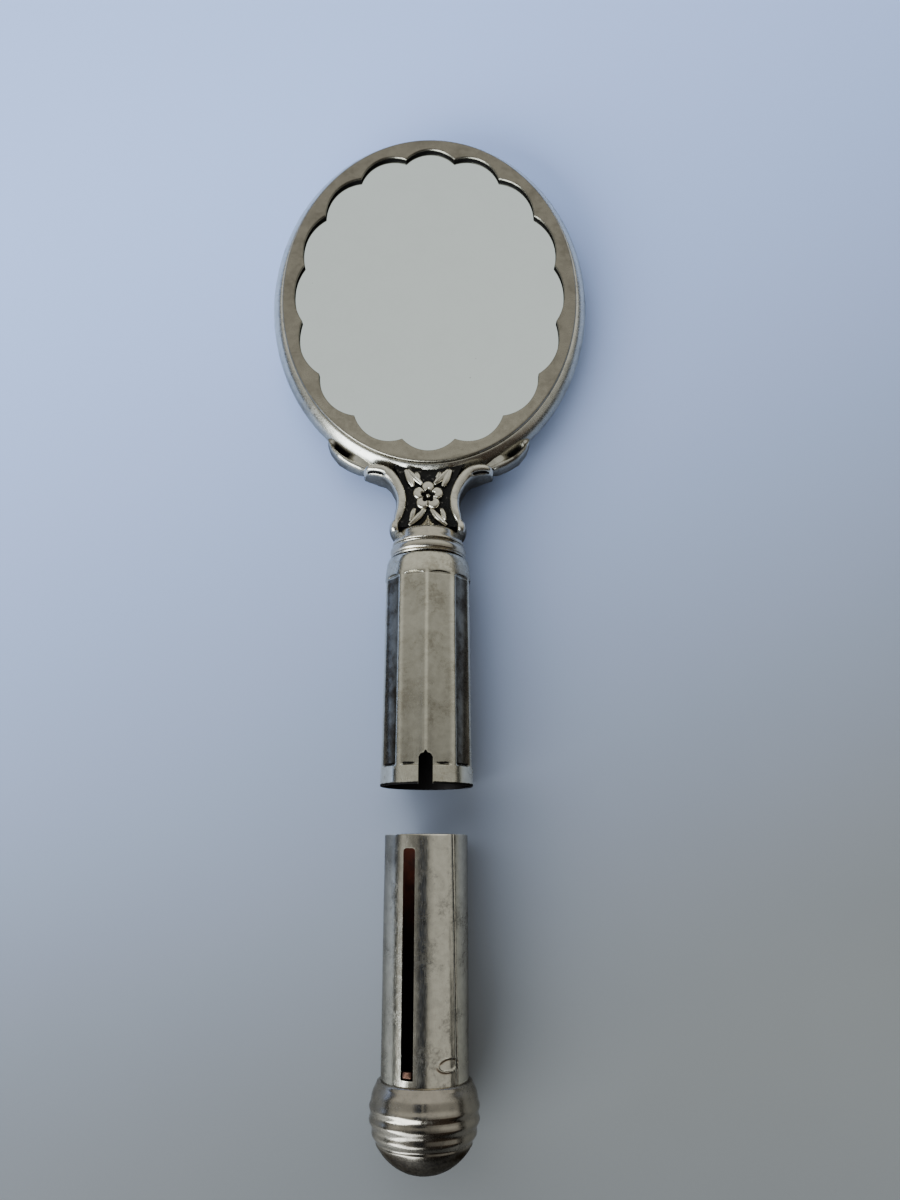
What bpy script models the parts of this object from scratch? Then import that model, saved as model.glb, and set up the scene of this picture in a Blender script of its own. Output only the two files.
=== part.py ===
"""Silver hand mirror whose handle is a lipstick holder. Metres, +Z up.

The mirror lies face up. X runs across it, +Y runs from the handle to the top of the head, and +Z comes out of
the glass. The origin is the middle of the flat field on the back of the head. The handle's axis is parallel to Y,
at AXIS_Z above the origin. The slotted barrel is shown pulled out of the fluted sleeve by BARREL_GAP.
"""

import math

import bmesh
import bpy

MM = 0.001
GAP = 0.3 * MM
WELD = 0.001 * MM
SCREW_WELD = 0.01 * MM
SHARP_DEG = 40

# Heights above the handle's axis, unless a name says otherwise.
AXIS_Z = 6.3 * MM
BEZEL_FRONT = 4.0 * MM
BEZEL_THICK = 0.7 * MM
GLASS_FRONT = 3.0 * MM
GLASS_THICK = 1.9 * MM
CARD_THICK = 0.8 * MM

# The head is an oval. Half its width and half its height at the bezel's outer edge.
HEAD_HALF_WIDTH = 29.3 * MM
HEAD_HALF_HEIGHT = 36.6 * MM
OVAL_STEPS = 64
GLASS_INSET = 1.2 * MM
CARD_INSET = 1.9 * MM

# The bezel's opening has shallow scallops, whose cusps lie on a smaller oval.
SCALLOPS = 16
CUSP_HALF_WIDTH = 25.6 * MM
CUSP_HALF_HEIGHT = 32.3 * MM
SCALLOP_SIDE_RISE = 1.25 * MM
SCALLOP_TOP_RISE = 1.8 * MM
SCALLOP_STEPS = 6

# Rim section: distance outside the bezel's edge, and height.
RIM_OUTER = [(0.2, 3.0), (1.1, 2.5), (1.8, 1.7), (2.2, 0.7), (2.1, -0.4), (1.6, -1.5), (0.7, -2.5), (-0.2, -3.1)]
RIM_INNER = [(-0.8, -2.5), (0.1, -1.9), (0.9, -1.0), (1.3, 0.2), (1.0, 1.3), (0.4, 1.9), (-0.8, 2.2), (-0.8, 3.0)]

# Back cover section, from its edge to its middle: radius on the narrow side, and height.
COVER_OUTER = [(28.6, -3.4), (26.0, -4.6), (22.0, -5.55), (18.0, -6.1), (14.0, -6.3)]
COVER_INNER = [(14.0, -5.5), (18.0, -5.3), (22.0, -4.75), (26.0, -3.8), (28.2, -2.9)]
COVER_STEPS = 48

# Shoulder between the head and the neck. Left-hand route of a scroll's middle line; the right one mirrors it.
SHOULDER_FRONT = 3.6 * MM
SHOULDER_LEDGE = -41.0 * MM
SHOULDER_FOOT = -49.4 * MM
SHOULDER_FLARE = 0.2 * MM
SHOULDER_TOP_STEPS = 8
SCROLL_HALF_DEPTH = 4.6 * MM
SCROLL_RADIUS = 1.0 * MM
SCROLL_ROUTE = [(-10.9, -37.85), (-9.6, -38.3), (-8.3, -38.75), (-7.1, -39.35), (-6.1, -40.3), (-5.35, -41.6),
                (-4.95, -43.2), (-4.93, -45.1), (-5.3, -46.8), (-5.75, -48.2), (-5.95, -49.4)]
VOLUTE_X = 9.4 * MM
VOLUTE_Y = -38.95 * MM
VOLUTE_RADIUS = 1.35 * MM
VOLUTE_HALF_DEPTH = 3.9 * MM
VOLUTE_STEPS = 24

# Ear scroll: angles round the head, measured at its middle from straight down, and the section's radius there.
EAR_START_DEG = 20.5
EAR_END_DEG = 36.5
EAR_POINTS = 7
EAR_RADII = [0.75, 0.9, 1.0, 1.0, 0.9, 0.65, 0.35]
EAR_HALF_DEPTH = 3.0 * MM
RIM_BULGE = 2.2 * MM

# Relief on the shoulder.
FLOWER_Y = -43.6 * MM
FLOWER_PETALS = 5
FLOWER_INNER = 1.95 * MM
FLOWER_OUTER = 2.8 * MM
FLOWER_THICK = 0.8 * MM
FLOWER_STEPS = 50
PETAL_ROUNDNESS = 0.7
BOSS_RADIUS = 0.6 * MM
BOSS_THICK = 0.5 * MM
BOSS_STEP_DEG = 30
LEAF_THICK = 0.6 * MM
LEAF_STEPS = 16
LEAF_SHARPNESS = 0.3
UPPER_LEAF = {"middle": (3.05, -39.9), "length": 4.0, "width": 1.9, "lean_deg": 35.0}
LOWER_LEAF = {"middle": (2.2, -47.9), "length": 3.0, "width": 1.2, "lean_deg": 145.0}

# Neck, as turned sections: radius, and distance up from the sleeve's mouth end of the neck.
NECK_BORE = 2.7
STUD_RADIUS = 2.4 * MM
COLLAR_Y = -52.15 * MM
COLLAR_LENGTH = 2.25
COLLAR_PROFILE = [(6.1, COLLAR_LENGTH), (6.3, 1.9), (6.4, 1.0), (6.7, 0.25), (6.6, 0.0)]
RING_Y = -54.95 * MM
RING_LENGTH = 2.5
RING_STEPS = 8
RING_CREST = 7.05
STUD_TOP = -49.9 * MM
STUD_END = -56.15 * MM
STUD_STEPS = 24
DISC_TOP = -56.45 * MM
DISC_THICK = 0.8 * MM
DISC_RADIUS = 6.95 * MM

# Fluted sleeve, which is the lipstick's cap.
SLEEVE_TOP = -55.25 * MM
SLEEVE_MOUTH = -96.5 * MM
SLEEVE_BORE = 7.3
SLEEVE_CROWN_BORE = 6.6
SLEEVE_CROWN_LIP = 0.4
SLEEVE_CROWN_WALL = 1.0
SLEEVE_TOP_RADIUS = 7.85
SLEEVE_MOUTH_RADIUS = 8.15
SLEEVE_SHOULDER = [(6.95, 0.0), (7.3, 0.12), (7.55, 0.6), (7.74, 1.5), (SLEEVE_TOP_RADIUS, 3.2)]
SLEEVE_MOUTH_EDGE = [(SLEEVE_MOUTH_RADIUS, 0.2), (SLEEVE_MOUTH_RADIUS - 0.15, 0.0)]
SLEEVE_STEPS = 60
FLUTES = 10
FLUTE_TOP = -59.2 * MM
FLUTE_END = -93.4 * MM
FLUTE_DEPTH = 0.34
FLUTE_CUTTER_DEPTH = 2.0
NOTCH_WIDTH = 2.44 * MM
NOTCH_DEPTH = 5.2 * MM
NOTCH_CORNER = 0.6 * MM
NOTCH_OVERRUN = 2.0 * MM

# Slotted barrel and its ball end.
BARREL_GAP = 8.1 * MM
BARREL_RIM = SLEEVE_MOUTH - BARREL_GAP
BARREL_RADIUS = 7.15
BARREL_BORE = 6.75
BARREL_EDGE = 0.1
BARREL_END = -150.8 * MM
TURNED_STEPS = 48
SLOT_DEG = 22.0
SLOT_WIDTH = 2.15 * MM
SLOT_TOP = -106.9 * MM
SLOT_END = -141.9 * MM
SLOT_CORNER = 0.5 * MM
CUTTER_HALF_DEPTH = 3.0 * MM
CUTTER_REACH = 8.0 * MM
FLOOR_Y = -151.9 * MM
FLOOR_RADIUS = 6.6
FLOOR_THICK = 0.8
BALL_Y = -147.6 * MM
BALL_RADIUS = 9.0
BALL_WALL = 0.7
BALL_NECK = 7.45
BALL_TOP = 4.7
BALL_INSIDE = [(BALL_RADIUS - BALL_WALL - 0.25, 1.8), (BALL_NECK, 3.4), (BALL_NECK, BALL_TOP)]
BEAD_PITCH = 2.1
BEAD_DEPTH = 0.16
BEADED_TO = 4.2
BEAD_STEPS = (9, 8)
DOME_STEPS = 6
HOLLOW_STEPS = 8
BALL_JOINT = 0.15

# Lipstick carrier, shown wound right down.
CUP_TOP = -142.3 * MM
CUP_END = -150.5 * MM
CUP_RADIUS = 6.45
CUP_BORE = 6.1
CUP_FLOOR = 0.8
LUG_WIDTH = 1.5 * MM
LUG_LENGTH = 1.0 * MM
LUG_INNER = 6.75 * MM
LUG_OUTER = 7.1 * MM

SATIN_SILVER = {"color": (0.62, 0.60, 0.54), "roughness": 0.38, "metallic": 1.0}
POLISHED_SILVER = {"color": (0.72, 0.71, 0.68), "roughness": 0.18, "metallic": 1.0}
OXIDISED_SILVER = {"color": (0.07, 0.065, 0.06), "roughness": 0.6, "metallic": 0.7}
MIRROR = {"color": (0.80, 0.83, 0.81), "roughness": 0.02, "metallic": 1.0}
CARD = {"color": (0.45, 0.38, 0.28), "roughness": 0.9, "metallic": 0.0}
GILT = {"color": (0.70, 0.52, 0.28), "roughness": 0.3, "metallic": 1.0}


def clear_scene():
    for obj in list(bpy.data.objects):
        bpy.data.objects.remove(obj, do_unlink=True)


def new_collection(name):
    collection = bpy.data.collections.new(name)
    bpy.context.scene.collection.children.link(collection)
    return collection


def paint(obj, look):
    """Gives the object a Principled material of its own."""
    material = bpy.data.materials.new(obj.name)
    material.use_nodes = True
    shader = material.node_tree.nodes["Principled BSDF"]
    shader.inputs["Base Color"].default_value = (*look["color"], 1.0)
    shader.inputs["Roughness"].default_value = look["roughness"]
    shader.inputs["Metallic"].default_value = look["metallic"]
    obj.data.materials.append(material)


def add_part(name, data, look, place=(0.0, 0.0, 0.0)):
    obj = bpy.data.objects.new(name, data)
    obj.location = place
    parts.objects.link(obj)
    if look:
        paint(obj, look)
    return obj


def add_cutter(name, data, place=(0.0, 0.0, 0.0)):
    obj = bpy.data.objects.new(name, data)
    obj.location = place
    obj.hide_render = True
    obj.display_type = "WIRE"
    cutters.objects.link(obj)
    return obj


def combine(obj, other, operation="DIFFERENCE"):
    modifier = obj.modifiers.new(other.name, "BOOLEAN")
    modifier.operation = operation
    modifier.object = other
    modifier.solver = "EXACT"


def profile_mesh(name, points, closed):
    """The edges of a turned shape's section, in the XZ plane, from points in millimetres."""
    mesh = bpy.data.meshes.new(name)
    vertices = [(radius * MM, 0.0, height * MM) for radius, height in points]
    edges = [(i, i + 1) for i in range(len(points) - 1)]
    if closed:
        edges.append((len(points) - 1, 0))
    mesh.from_pydata(vertices, edges, [])
    return mesh


def turn(obj, steps):
    screw = obj.modifiers.new("turned", "SCREW")
    screw.steps = steps
    screw.render_steps = steps
    screw.use_merge_vertices = True
    screw.merge_threshold = SCREW_WELD
    screw.use_smooth_shade = True


def turned_part(name, points, look, along, closed=True, steps=TURNED_STEPS):
    """A turned shape on the handle's axis. Its own Z points along +Y, from the place called along."""
    obj = add_part(name, profile_mesh(name, points, closed), look, (0.0, along, AXIS_Z))
    obj.rotation_euler = (-math.pi / 2, 0.0, 0.0)
    turn(obj, steps)
    return obj


def outline_curve(name, outlines, half_depth):
    """A flat curve of closed outlines, filled and extruded to both sides."""
    curve = bpy.data.curves.new(name, "CURVE")
    curve.dimensions = "2D"
    curve.fill_mode = "BOTH"
    curve.extrude = half_depth
    for outline in outlines:
        spline = curve.splines.new("POLY")
        spline.points.add(len(outline) - 1)
        for point, (x, y) in zip(spline.points, outline):
            point.co = (x, y, 0.0, 1.0)
        spline.use_cyclic_u = True
    return curve


def plate(name, outlines, low, high, look):
    """A flat plate between two heights above the axis."""
    curve = outline_curve(name, outlines, (high - low) / 2)
    return add_part(name, curve, look, (0.0, 0.0, AXIS_Z + (low + high) / 2))


def as_mesh(obj, collection):
    """The object's evaluated mesh, with its caps welded on, as a new object in its place."""
    bpy.context.view_layer.update()
    graph = bpy.context.evaluated_depsgraph_get()
    mesh = bpy.data.meshes.new_from_object(obj.evaluated_get(graph))
    work = bmesh.new()
    work.from_mesh(mesh)
    bmesh.ops.remove_doubles(work, verts=work.verts, dist=WELD)
    bmesh.ops.recalc_face_normals(work, faces=work.faces)
    work.to_mesh(mesh)
    work.free()
    made = bpy.data.objects.new(obj.name + "_mesh", mesh)
    made.matrix_world = obj.matrix_world.copy()
    name = obj.name
    bpy.data.objects.remove(obj, do_unlink=True)
    made.name = name
    made.hide_render = collection is cutters
    made.display_type = "WIRE" if collection is cutters else "TEXTURED"
    collection.objects.link(made)
    return made


def oval_point(half_width, half_height, angle, outside=0.0):
    """A point of an oval, moved out along its normal. Angles run from +X towards +Y."""
    x = half_width * math.cos(angle)
    y = half_height * math.sin(angle)
    normal_x = half_height * math.cos(angle)
    normal_y = half_width * math.sin(angle)
    size = math.hypot(normal_x, normal_y)
    return x + outside * normal_x / size, y + outside * normal_y / size


def oval(outside=0.0, steps=OVAL_STEPS):
    """The head's oval, moved out by a distance."""
    turns = [2 * math.pi * i / steps for i in range(steps)]
    return [oval_point(HEAD_HALF_WIDTH, HEAD_HALF_HEIGHT, a, outside) for a in turns]


def scalloped_oval():
    """Shallow arcs between cusps, with a lobe at the top, the bottom and each side."""
    points = []
    for i in range(SCALLOPS * SCALLOP_STEPS):
        share = i / SCALLOP_STEPS
        angle = 2 * math.pi * (share - 0.5) / SCALLOPS
        across = 2 * (share % 1.0) - 1
        rise = SCALLOP_SIDE_RISE + (SCALLOP_TOP_RISE - SCALLOP_SIDE_RISE) * abs(math.sin(angle))
        points.append(oval_point(CUSP_HALF_WIDTH, CUSP_HALF_HEIGHT, angle, rise * (1 - across * across)))
    return points


def rounded_slot(half_width, length, corner):
    """Outline of a slot from y = 0 down to -length, with corners rounded by short arcs."""
    points = []
    centres = [(half_width - corner, -corner, 0.0), (corner - half_width, -corner, 90.0),
               (corner - half_width, corner - length, 180.0), (half_width - corner, corner - length, 270.0)]
    for x, y, start in centres:
        for step in (0.0, 30.0, 60.0, 90.0):
            angle = math.radians(start + step)
            points.append((x + corner * math.cos(angle), y + corner * math.sin(angle)))
    return points


def slot_cutter(name, half_width, top, length, corner, lean=0.0):
    """A cutter through the upper wall of the handle, turned about its axis by lean."""
    curve = outline_curve(name, [rounded_slot(half_width, length, corner)], CUTTER_HALF_DEPTH)
    place = (-CUTTER_REACH * math.sin(lean), top, AXIS_Z + CUTTER_REACH * math.cos(lean))
    cutter = add_cutter(name, curve, place)
    cutter.rotation_euler = (0.0, -lean, 0.0)
    return as_mesh(cutter, cutters)


def make_bezel():
    plate("bezel_frame", [oval(), scalloped_oval()], BEZEL_FRONT - BEZEL_THICK, BEZEL_FRONT, SATIN_SILVER)


def make_glass():
    back = GLASS_FRONT - GLASS_THICK
    plate("mirror_glass", [oval(-GLASS_INSET)], back, GLASS_FRONT, MIRROR)
    plate("backing_card", [oval(-CARD_INSET)], back - GAP - CARD_THICK, back - GAP, CARD)


def make_rim():
    """One section carried round the oval, which no single modifier does at a constant width."""
    section = [(across * MM, AXIS_Z + up * MM) for across, up in RIM_OUTER + RIM_INNER]
    work = bmesh.new()
    rings = []
    for i in range(OVAL_STEPS):
        angle = 2 * math.pi * i / OVAL_STEPS
        ring = []
        for across, height in section:
            x, y = oval_point(HEAD_HALF_WIDTH, HEAD_HALF_HEIGHT, angle, across)
            ring.append(work.verts.new((x, y, height)))
        rings.append(ring)
    for i, ring in enumerate(rings):
        following = rings[(i + 1) % OVAL_STEPS]
        for j in range(len(section)):
            k = (j + 1) % len(section)
            work.faces.new((ring[j], ring[k], following[k], following[j]))
    bmesh.ops.recalc_face_normals(work, faces=work.faces)
    mesh = bpy.data.meshes.new("head_rim")
    work.to_mesh(mesh)
    work.free()
    mesh.shade_smooth()
    mesh.set_sharp_from_angle(angle=math.radians(SHARP_DEG))
    add_part("head_rim", mesh, POLISHED_SILVER)


def make_back_cover():
    """A turned dish, stretched along Y to the head's proportions."""
    profile = [(0.0, COVER_INNER[0][1])] + COVER_INNER + COVER_OUTER + [(0.0, COVER_OUTER[-1][1])]
    cover = add_part("back_cover", profile_mesh("back_cover", profile, False), SATIN_SILVER, (0.0, 0.0, AXIS_Z))
    cover.scale = (1.0, HEAD_HALF_HEIGHT / HEAD_HALF_WIDTH, 1.0)
    turn(cover, COVER_STEPS)


def shoulder_outline():
    """Between the two scrolls, from a top edge that follows the head down to the neck."""
    spread = SCROLL_RADIUS + GAP
    right = [(-x * MM - spread, y * MM) for x, y in SCROLL_ROUTE if SHOULDER_FOOT < y * MM < SHOULDER_LEDGE]
    right.append((right[-1][0] + SHOULDER_FLARE, SHOULDER_FOOT))
    half_top = right[0][0]
    arc = []
    for i in range(1, SHOULDER_TOP_STEPS):
        x = half_top * (1 - 2 * i / SHOULDER_TOP_STEPS)
        arc.append((x, -rim_edge(x) - GAP))
    left = [(-x, y) for x, y in right]
    return right[::-1] + arc + left


def rim_edge(x):
    """How far below the head's middle its wall reaches at a place across it."""
    half_width = HEAD_HALF_WIDTH + RIM_BULGE
    half_height = HEAD_HALF_HEIGHT + RIM_BULGE
    return half_height * math.sqrt(1 - (x / half_width) ** 2)


def make_shoulder():
    """Two half shells back to back."""
    for side, sign in (("front", 1), ("back", -1)):
        low, high = sorted((sign * GAP / 2, sign * SHOULDER_FRONT))
        plate("shoulder_" + side, [shoulder_outline()], low, high, OXIDISED_SILVER)


def scroll_band(name, mirror):
    curve = bpy.data.curves.new(name, "CURVE")
    curve.dimensions = "3D"
    curve.bevel_depth = SCROLL_RADIUS
    curve.bevel_resolution = 2
    curve.extrude = SCROLL_HALF_DEPTH - SCROLL_RADIUS
    curve.use_fill_caps = True
    spline = curve.splines.new("POLY")
    spline.points.add(len(SCROLL_ROUTE) - 1)
    for point, (x, y) in zip(spline.points, SCROLL_ROUTE):
        point.co = (mirror * x * MM, y * MM, 0.0, 1.0)
    return curve


def make_scrolls():
    """A band along the shoulder's side that ends in a round volute under the head."""
    for side, mirror in (("left", 1), ("right", -1)):
        name = "scroll_" + side
        band = as_mesh(add_part(name, scroll_band(name, mirror), None, (0.0, 0.0, AXIS_Z)), parts)
        paint(band, POLISHED_SILVER)
        work = bmesh.new()
        bmesh.ops.create_cone(work, cap_ends=True, segments=VOLUTE_STEPS, radius1=VOLUTE_RADIUS,
                              radius2=VOLUTE_RADIUS, depth=2 * VOLUTE_HALF_DEPTH)
        mesh = bpy.data.meshes.new("volute_" + side)
        work.to_mesh(mesh)
        work.free()
        volute = add_cutter("volute_" + side, mesh, (-mirror * VOLUTE_X, VOLUTE_Y, AXIS_Z))
        combine(band, volute, "UNION")


def make_ears():
    """A tapering scroll that follows the head's wall on each side of the shoulder."""
    for side, sign in (("left", -1), ("right", 1)):
        curve = bpy.data.curves.new("ear_scroll_" + side, "CURVE")
        curve.dimensions = "3D"
        curve.bevel_depth = MM
        curve.bevel_resolution = 2
        curve.use_fill_caps = True
        spline = curve.splines.new("POLY")
        spline.points.add(EAR_POINTS - 1)
        for i, (point, radius) in enumerate(zip(spline.points, EAR_RADII)):
            angle = math.radians(EAR_START_DEG + (EAR_END_DEG - EAR_START_DEG) * i / (EAR_POINTS - 1) - 90)
            outside = RIM_BULGE + GAP + radius * MM
            x, y = oval_point(HEAD_HALF_WIDTH, HEAD_HALF_HEIGHT, angle, outside)
            point.co = (sign * x, y, 0.0, 1.0)
            point.radius = radius
        ear = add_part("ear_scroll_" + side, curve, POLISHED_SILVER, (0.0, 0.0, AXIS_Z))
        ear.scale = (1.0, 1.0, EAR_HALF_DEPTH / (max(EAR_RADII) * MM))


def flower_outline():
    """Round petals: the radius swells at each petal's middle, the first of which points up."""
    points = []
    for i in range(FLOWER_STEPS):
        angle = 2 * math.pi * i / FLOWER_STEPS
        swell = abs(math.cos(FLOWER_PETALS * angle / 2)) ** PETAL_ROUNDNESS
        radius = FLOWER_INNER + (FLOWER_OUTER - FLOWER_INNER) * swell
        points.append((-radius * math.sin(angle), FLOWER_Y + radius * math.cos(angle)))
    return points


def leaf_outline(leaf, mirror):
    """A leaf pointed at both ends, leaning away from the middle."""
    points = []
    lean = math.radians(leaf["lean_deg"])
    for i in range(LEAF_STEPS):
        angle = 2 * math.pi * i / LEAF_STEPS
        along = leaf["length"] / 2 * math.cos(angle)
        across = leaf["width"] / 2 * math.sin(angle) * abs(math.sin(angle)) ** LEAF_SHARPNESS
        x = leaf["middle"][0] + along * math.sin(lean) + across * math.cos(lean)
        y = leaf["middle"][1] + along * math.cos(lean) - across * math.sin(lean)
        points.append((mirror * x * MM, y * MM))
    return points


def make_relief():
    """The same flower and leaves on the shoulder's front and back."""
    disc = [(BOSS_RADIUS * math.cos(math.radians(a)), FLOWER_Y + BOSS_RADIUS * math.sin(math.radians(a)))
            for a in range(0, 360, BOSS_STEP_DEG)]
    for side, sign in (("front", 1), ("back", -1)):
        ground = SHOULDER_FRONT + GAP
        heights = sorted((sign * ground, sign * (ground + FLOWER_THICK)))
        plate("flower_" + side, [flower_outline()], *heights, SATIN_SILVER)
        boss = ground + FLOWER_THICK + GAP
        heights = sorted((sign * boss, sign * (boss + BOSS_THICK)))
        plate("flower_boss_" + side, [disc], *heights, SATIN_SILVER)
        heights = sorted((sign * ground, sign * (ground + LEAF_THICK)))
        for level, leaf in (("upper", UPPER_LEAF), ("lower", LOWER_LEAF)):
            for hand, mirror in (("left", -1), ("right", 1)):
                name = level + "_leaf_" + hand + "_" + side
                plate(name, [leaf_outline(leaf, mirror)], *heights, SATIN_SILVER)


def make_neck():
    collar = COLLAR_PROFILE + [(NECK_BORE, 0.0), (NECK_BORE, COLLAR_LENGTH)]
    turned_part("neck_collar", collar, POLISHED_SILVER, COLLAR_Y)
    half = RING_LENGTH / 2
    turns = [math.pi * (0.5 - i / RING_STEPS) for i in range(RING_STEPS + 1)]
    bead = [(RING_CREST - half + half * math.cos(a), half + half * math.sin(a)) for a in turns]
    turned_part("neck_ring", bead + [(NECK_BORE, 0.0), (NECK_BORE, RING_LENGTH)], POLISHED_SILVER, RING_Y)
    length = (STUD_TOP - STUD_END) / MM
    radius = STUD_RADIUS / MM
    stud = [(0.0, length), (radius, length), (radius, 0.0), (0.0, 0.0)]
    turned_part("neck_stud", stud, POLISHED_SILVER, STUD_END, closed=False, steps=STUD_STEPS)
    thick = DISC_THICK / MM
    radius = DISC_RADIUS / MM
    disc = [(0.0, thick), (radius, thick), (radius, 0.0), (0.0, 0.0)]
    turned_part("sleeve_end_disc", disc, POLISHED_SILVER, DISC_TOP - DISC_THICK, closed=False)


def flute_cutter(index, length_mm):
    """A flat-bottomed block that planes one panel, leaning with the sleeve's taper."""
    work = bmesh.new()
    bmesh.ops.create_cube(work, size=1.0)
    half = math.pi / FLUTES
    middle = (SLEEVE_TOP_RADIUS + SLEEVE_MOUTH_RADIUS) / 2 - FLUTE_DEPTH
    wide = 2 * (middle + FLUTE_CUTTER_DEPTH) * math.tan(half)
    bmesh.ops.scale(work, verts=work.verts, vec=(wide * MM, length_mm * MM, FLUTE_CUTTER_DEPTH * MM))
    bmesh.ops.translate(work, verts=work.verts, vec=(0.0, 0.0, FLUTE_CUTTER_DEPTH / 2 * MM))
    mesh = bpy.data.meshes.new("flute_" + str(index))
    work.to_mesh(mesh)
    work.free()
    angle = (2 * index + 1) * half
    place = (middle * MM * math.sin(angle), (FLUTE_TOP + FLUTE_END) / 2, AXIS_Z + middle * MM * math.cos(angle))
    cutter = add_cutter("flute_" + str(index), mesh, place)
    taper = math.atan((SLEEVE_MOUTH_RADIUS - SLEEVE_TOP_RADIUS) * MM / (SLEEVE_TOP - SLEEVE_MOUTH))
    cutter.rotation_euler = (-taper, angle, 0.0)
    return cutter


def make_sleeve():
    length = (SLEEVE_TOP - SLEEVE_MOUTH) / MM
    outer = [(radius, length - down) for radius, down in SLEEVE_SHOULDER]
    inner = [(SLEEVE_BORE, 0.0), (SLEEVE_BORE, length - SLEEVE_CROWN_WALL),
             (SLEEVE_CROWN_BORE, length - SLEEVE_CROWN_LIP), (SLEEVE_CROWN_BORE, length)]
    section = outer + SLEEVE_MOUTH_EDGE + inner
    sleeve = turned_part("fluted_sleeve", section, SATIN_SILVER, SLEEVE_MOUTH, steps=SLEEVE_STEPS)
    for index in range(FLUTES):
        combine(sleeve, flute_cutter(index, (FLUTE_TOP - FLUTE_END) / MM))
    top = SLEEVE_MOUTH + NOTCH_DEPTH
    combine(sleeve, slot_cutter("notch", NOTCH_WIDTH / 2, top, NOTCH_DEPTH + NOTCH_OVERRUN, NOTCH_CORNER))


def make_barrel():
    length = (BARREL_RIM - BARREL_END) / MM
    section = [(BARREL_RADIUS - BARREL_EDGE, length), (BARREL_RADIUS, length - BARREL_EDGE), (BARREL_RADIUS, 0.0),
               (BARREL_BORE, 0.0), (BARREL_BORE, length)]
    tube = turned_part("barrel_tube", section, POLISHED_SILVER, BARREL_END)
    lean = math.radians(SLOT_DEG)
    combine(tube, slot_cutter("slot", SLOT_WIDTH / 2, SLOT_TOP, SLOT_TOP - SLOT_END, SLOT_CORNER, lean))
    floor = [(0.0, FLOOR_THICK), (FLOOR_RADIUS, FLOOR_THICK), (FLOOR_RADIUS, 0.0), (0.0, 0.0)]
    turned_part("barrel_floor", floor, POLISHED_SILVER, FLOOR_Y, closed=False)


def ball_surface(height):
    """The ball's outer radius at a height above its middle, with its turned beads."""
    radius = math.sqrt(max(BALL_RADIUS ** 2 - height ** 2, 0.0))
    if height > BEADED_TO or height < -BEADED_TO:
        return radius
    return radius - BEAD_DEPTH * (1 + math.cos(2 * math.pi * height / BEAD_PITCH)) / 2


def ball_section(high, low, steps):
    heights = [high + (low - high) * i / steps for i in range(steps + 1)]
    return [(ball_surface(height), height) for height in heights]


def make_ball():
    inside = BALL_RADIUS - BALL_WALL
    upper = ball_section(BALL_TOP, BALL_JOINT, BEAD_STEPS[0])
    turned_part("ball_upper_shell", upper + [(inside, BALL_JOINT)] + BALL_INSIDE, POLISHED_SILVER, BALL_Y)
    beads = ball_section(-BALL_JOINT, -BEADED_TO, BEAD_STEPS[1])
    start = math.asin(BEADED_TO / BALL_RADIUS)
    turns = [start + (math.pi / 2 - start) * i / DOME_STEPS for i in range(1, DOME_STEPS)]
    dome = [(BALL_RADIUS * math.cos(a), -BALL_RADIUS * math.sin(a)) for a in turns]
    turns = [math.pi / 2 * i / HOLLOW_STEPS for i in range(HOLLOW_STEPS + 1)]
    hollow = [(inside * math.cos(a), -inside * math.sin(a)) for a in reversed(turns)]
    hollow[0] = (0.0, -inside)
    hollow[-1] = (inside, -BALL_JOINT)
    lower = hollow + beads + dome + [(0.0, -BALL_RADIUS)]
    turned_part("ball_lower_shell", lower, POLISHED_SILVER, BALL_Y, closed=False)


def make_carrier():
    depth = (CUP_TOP - CUP_END) / MM
    cup = [(0.0, CUP_FLOOR), (CUP_BORE, CUP_FLOOR), (CUP_BORE, depth), (CUP_RADIUS, depth), (CUP_RADIUS, 0.0),
           (0.0, 0.0)]
    turned_part("carrier_cup", cup, GILT, CUP_END, closed=False)
    work = bmesh.new()
    bmesh.ops.create_cube(work, size=1.0)
    bmesh.ops.scale(work, verts=work.verts, vec=(LUG_WIDTH, LUG_LENGTH, LUG_OUTER - LUG_INNER))
    mesh = bpy.data.meshes.new("slider_lug")
    work.to_mesh(mesh)
    work.free()
    lean = math.radians(SLOT_DEG)
    reach = (LUG_OUTER + LUG_INNER) / 2
    middle = SLOT_END + GAP + LUG_LENGTH / 2
    place = (-reach * math.sin(lean), middle, AXIS_Z + reach * math.cos(lean))
    lug = add_part("slider_lug", mesh, GILT, place)
    lug.rotation_euler = (0.0, -lean, 0.0)


clear_scene()
parts = new_collection("hand_mirror")
cutters = new_collection("cutters")
make_bezel()
make_glass()
make_rim()
make_back_cover()
make_shoulder()
make_scrolls()
make_ears()
make_relief()
make_neck()
make_sleeve()
make_barrel()
make_ball()
make_carrier()
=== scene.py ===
"""Looks of the silver hand mirror whose handle is a lipstick holder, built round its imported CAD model."""

from math import asin, atan2, cos, degrees, dist, exp, hypot, log1p, pi, radians, sin, sqrt

import bmesh
import bpy
from mathutils import Matrix, Vector, noise


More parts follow.
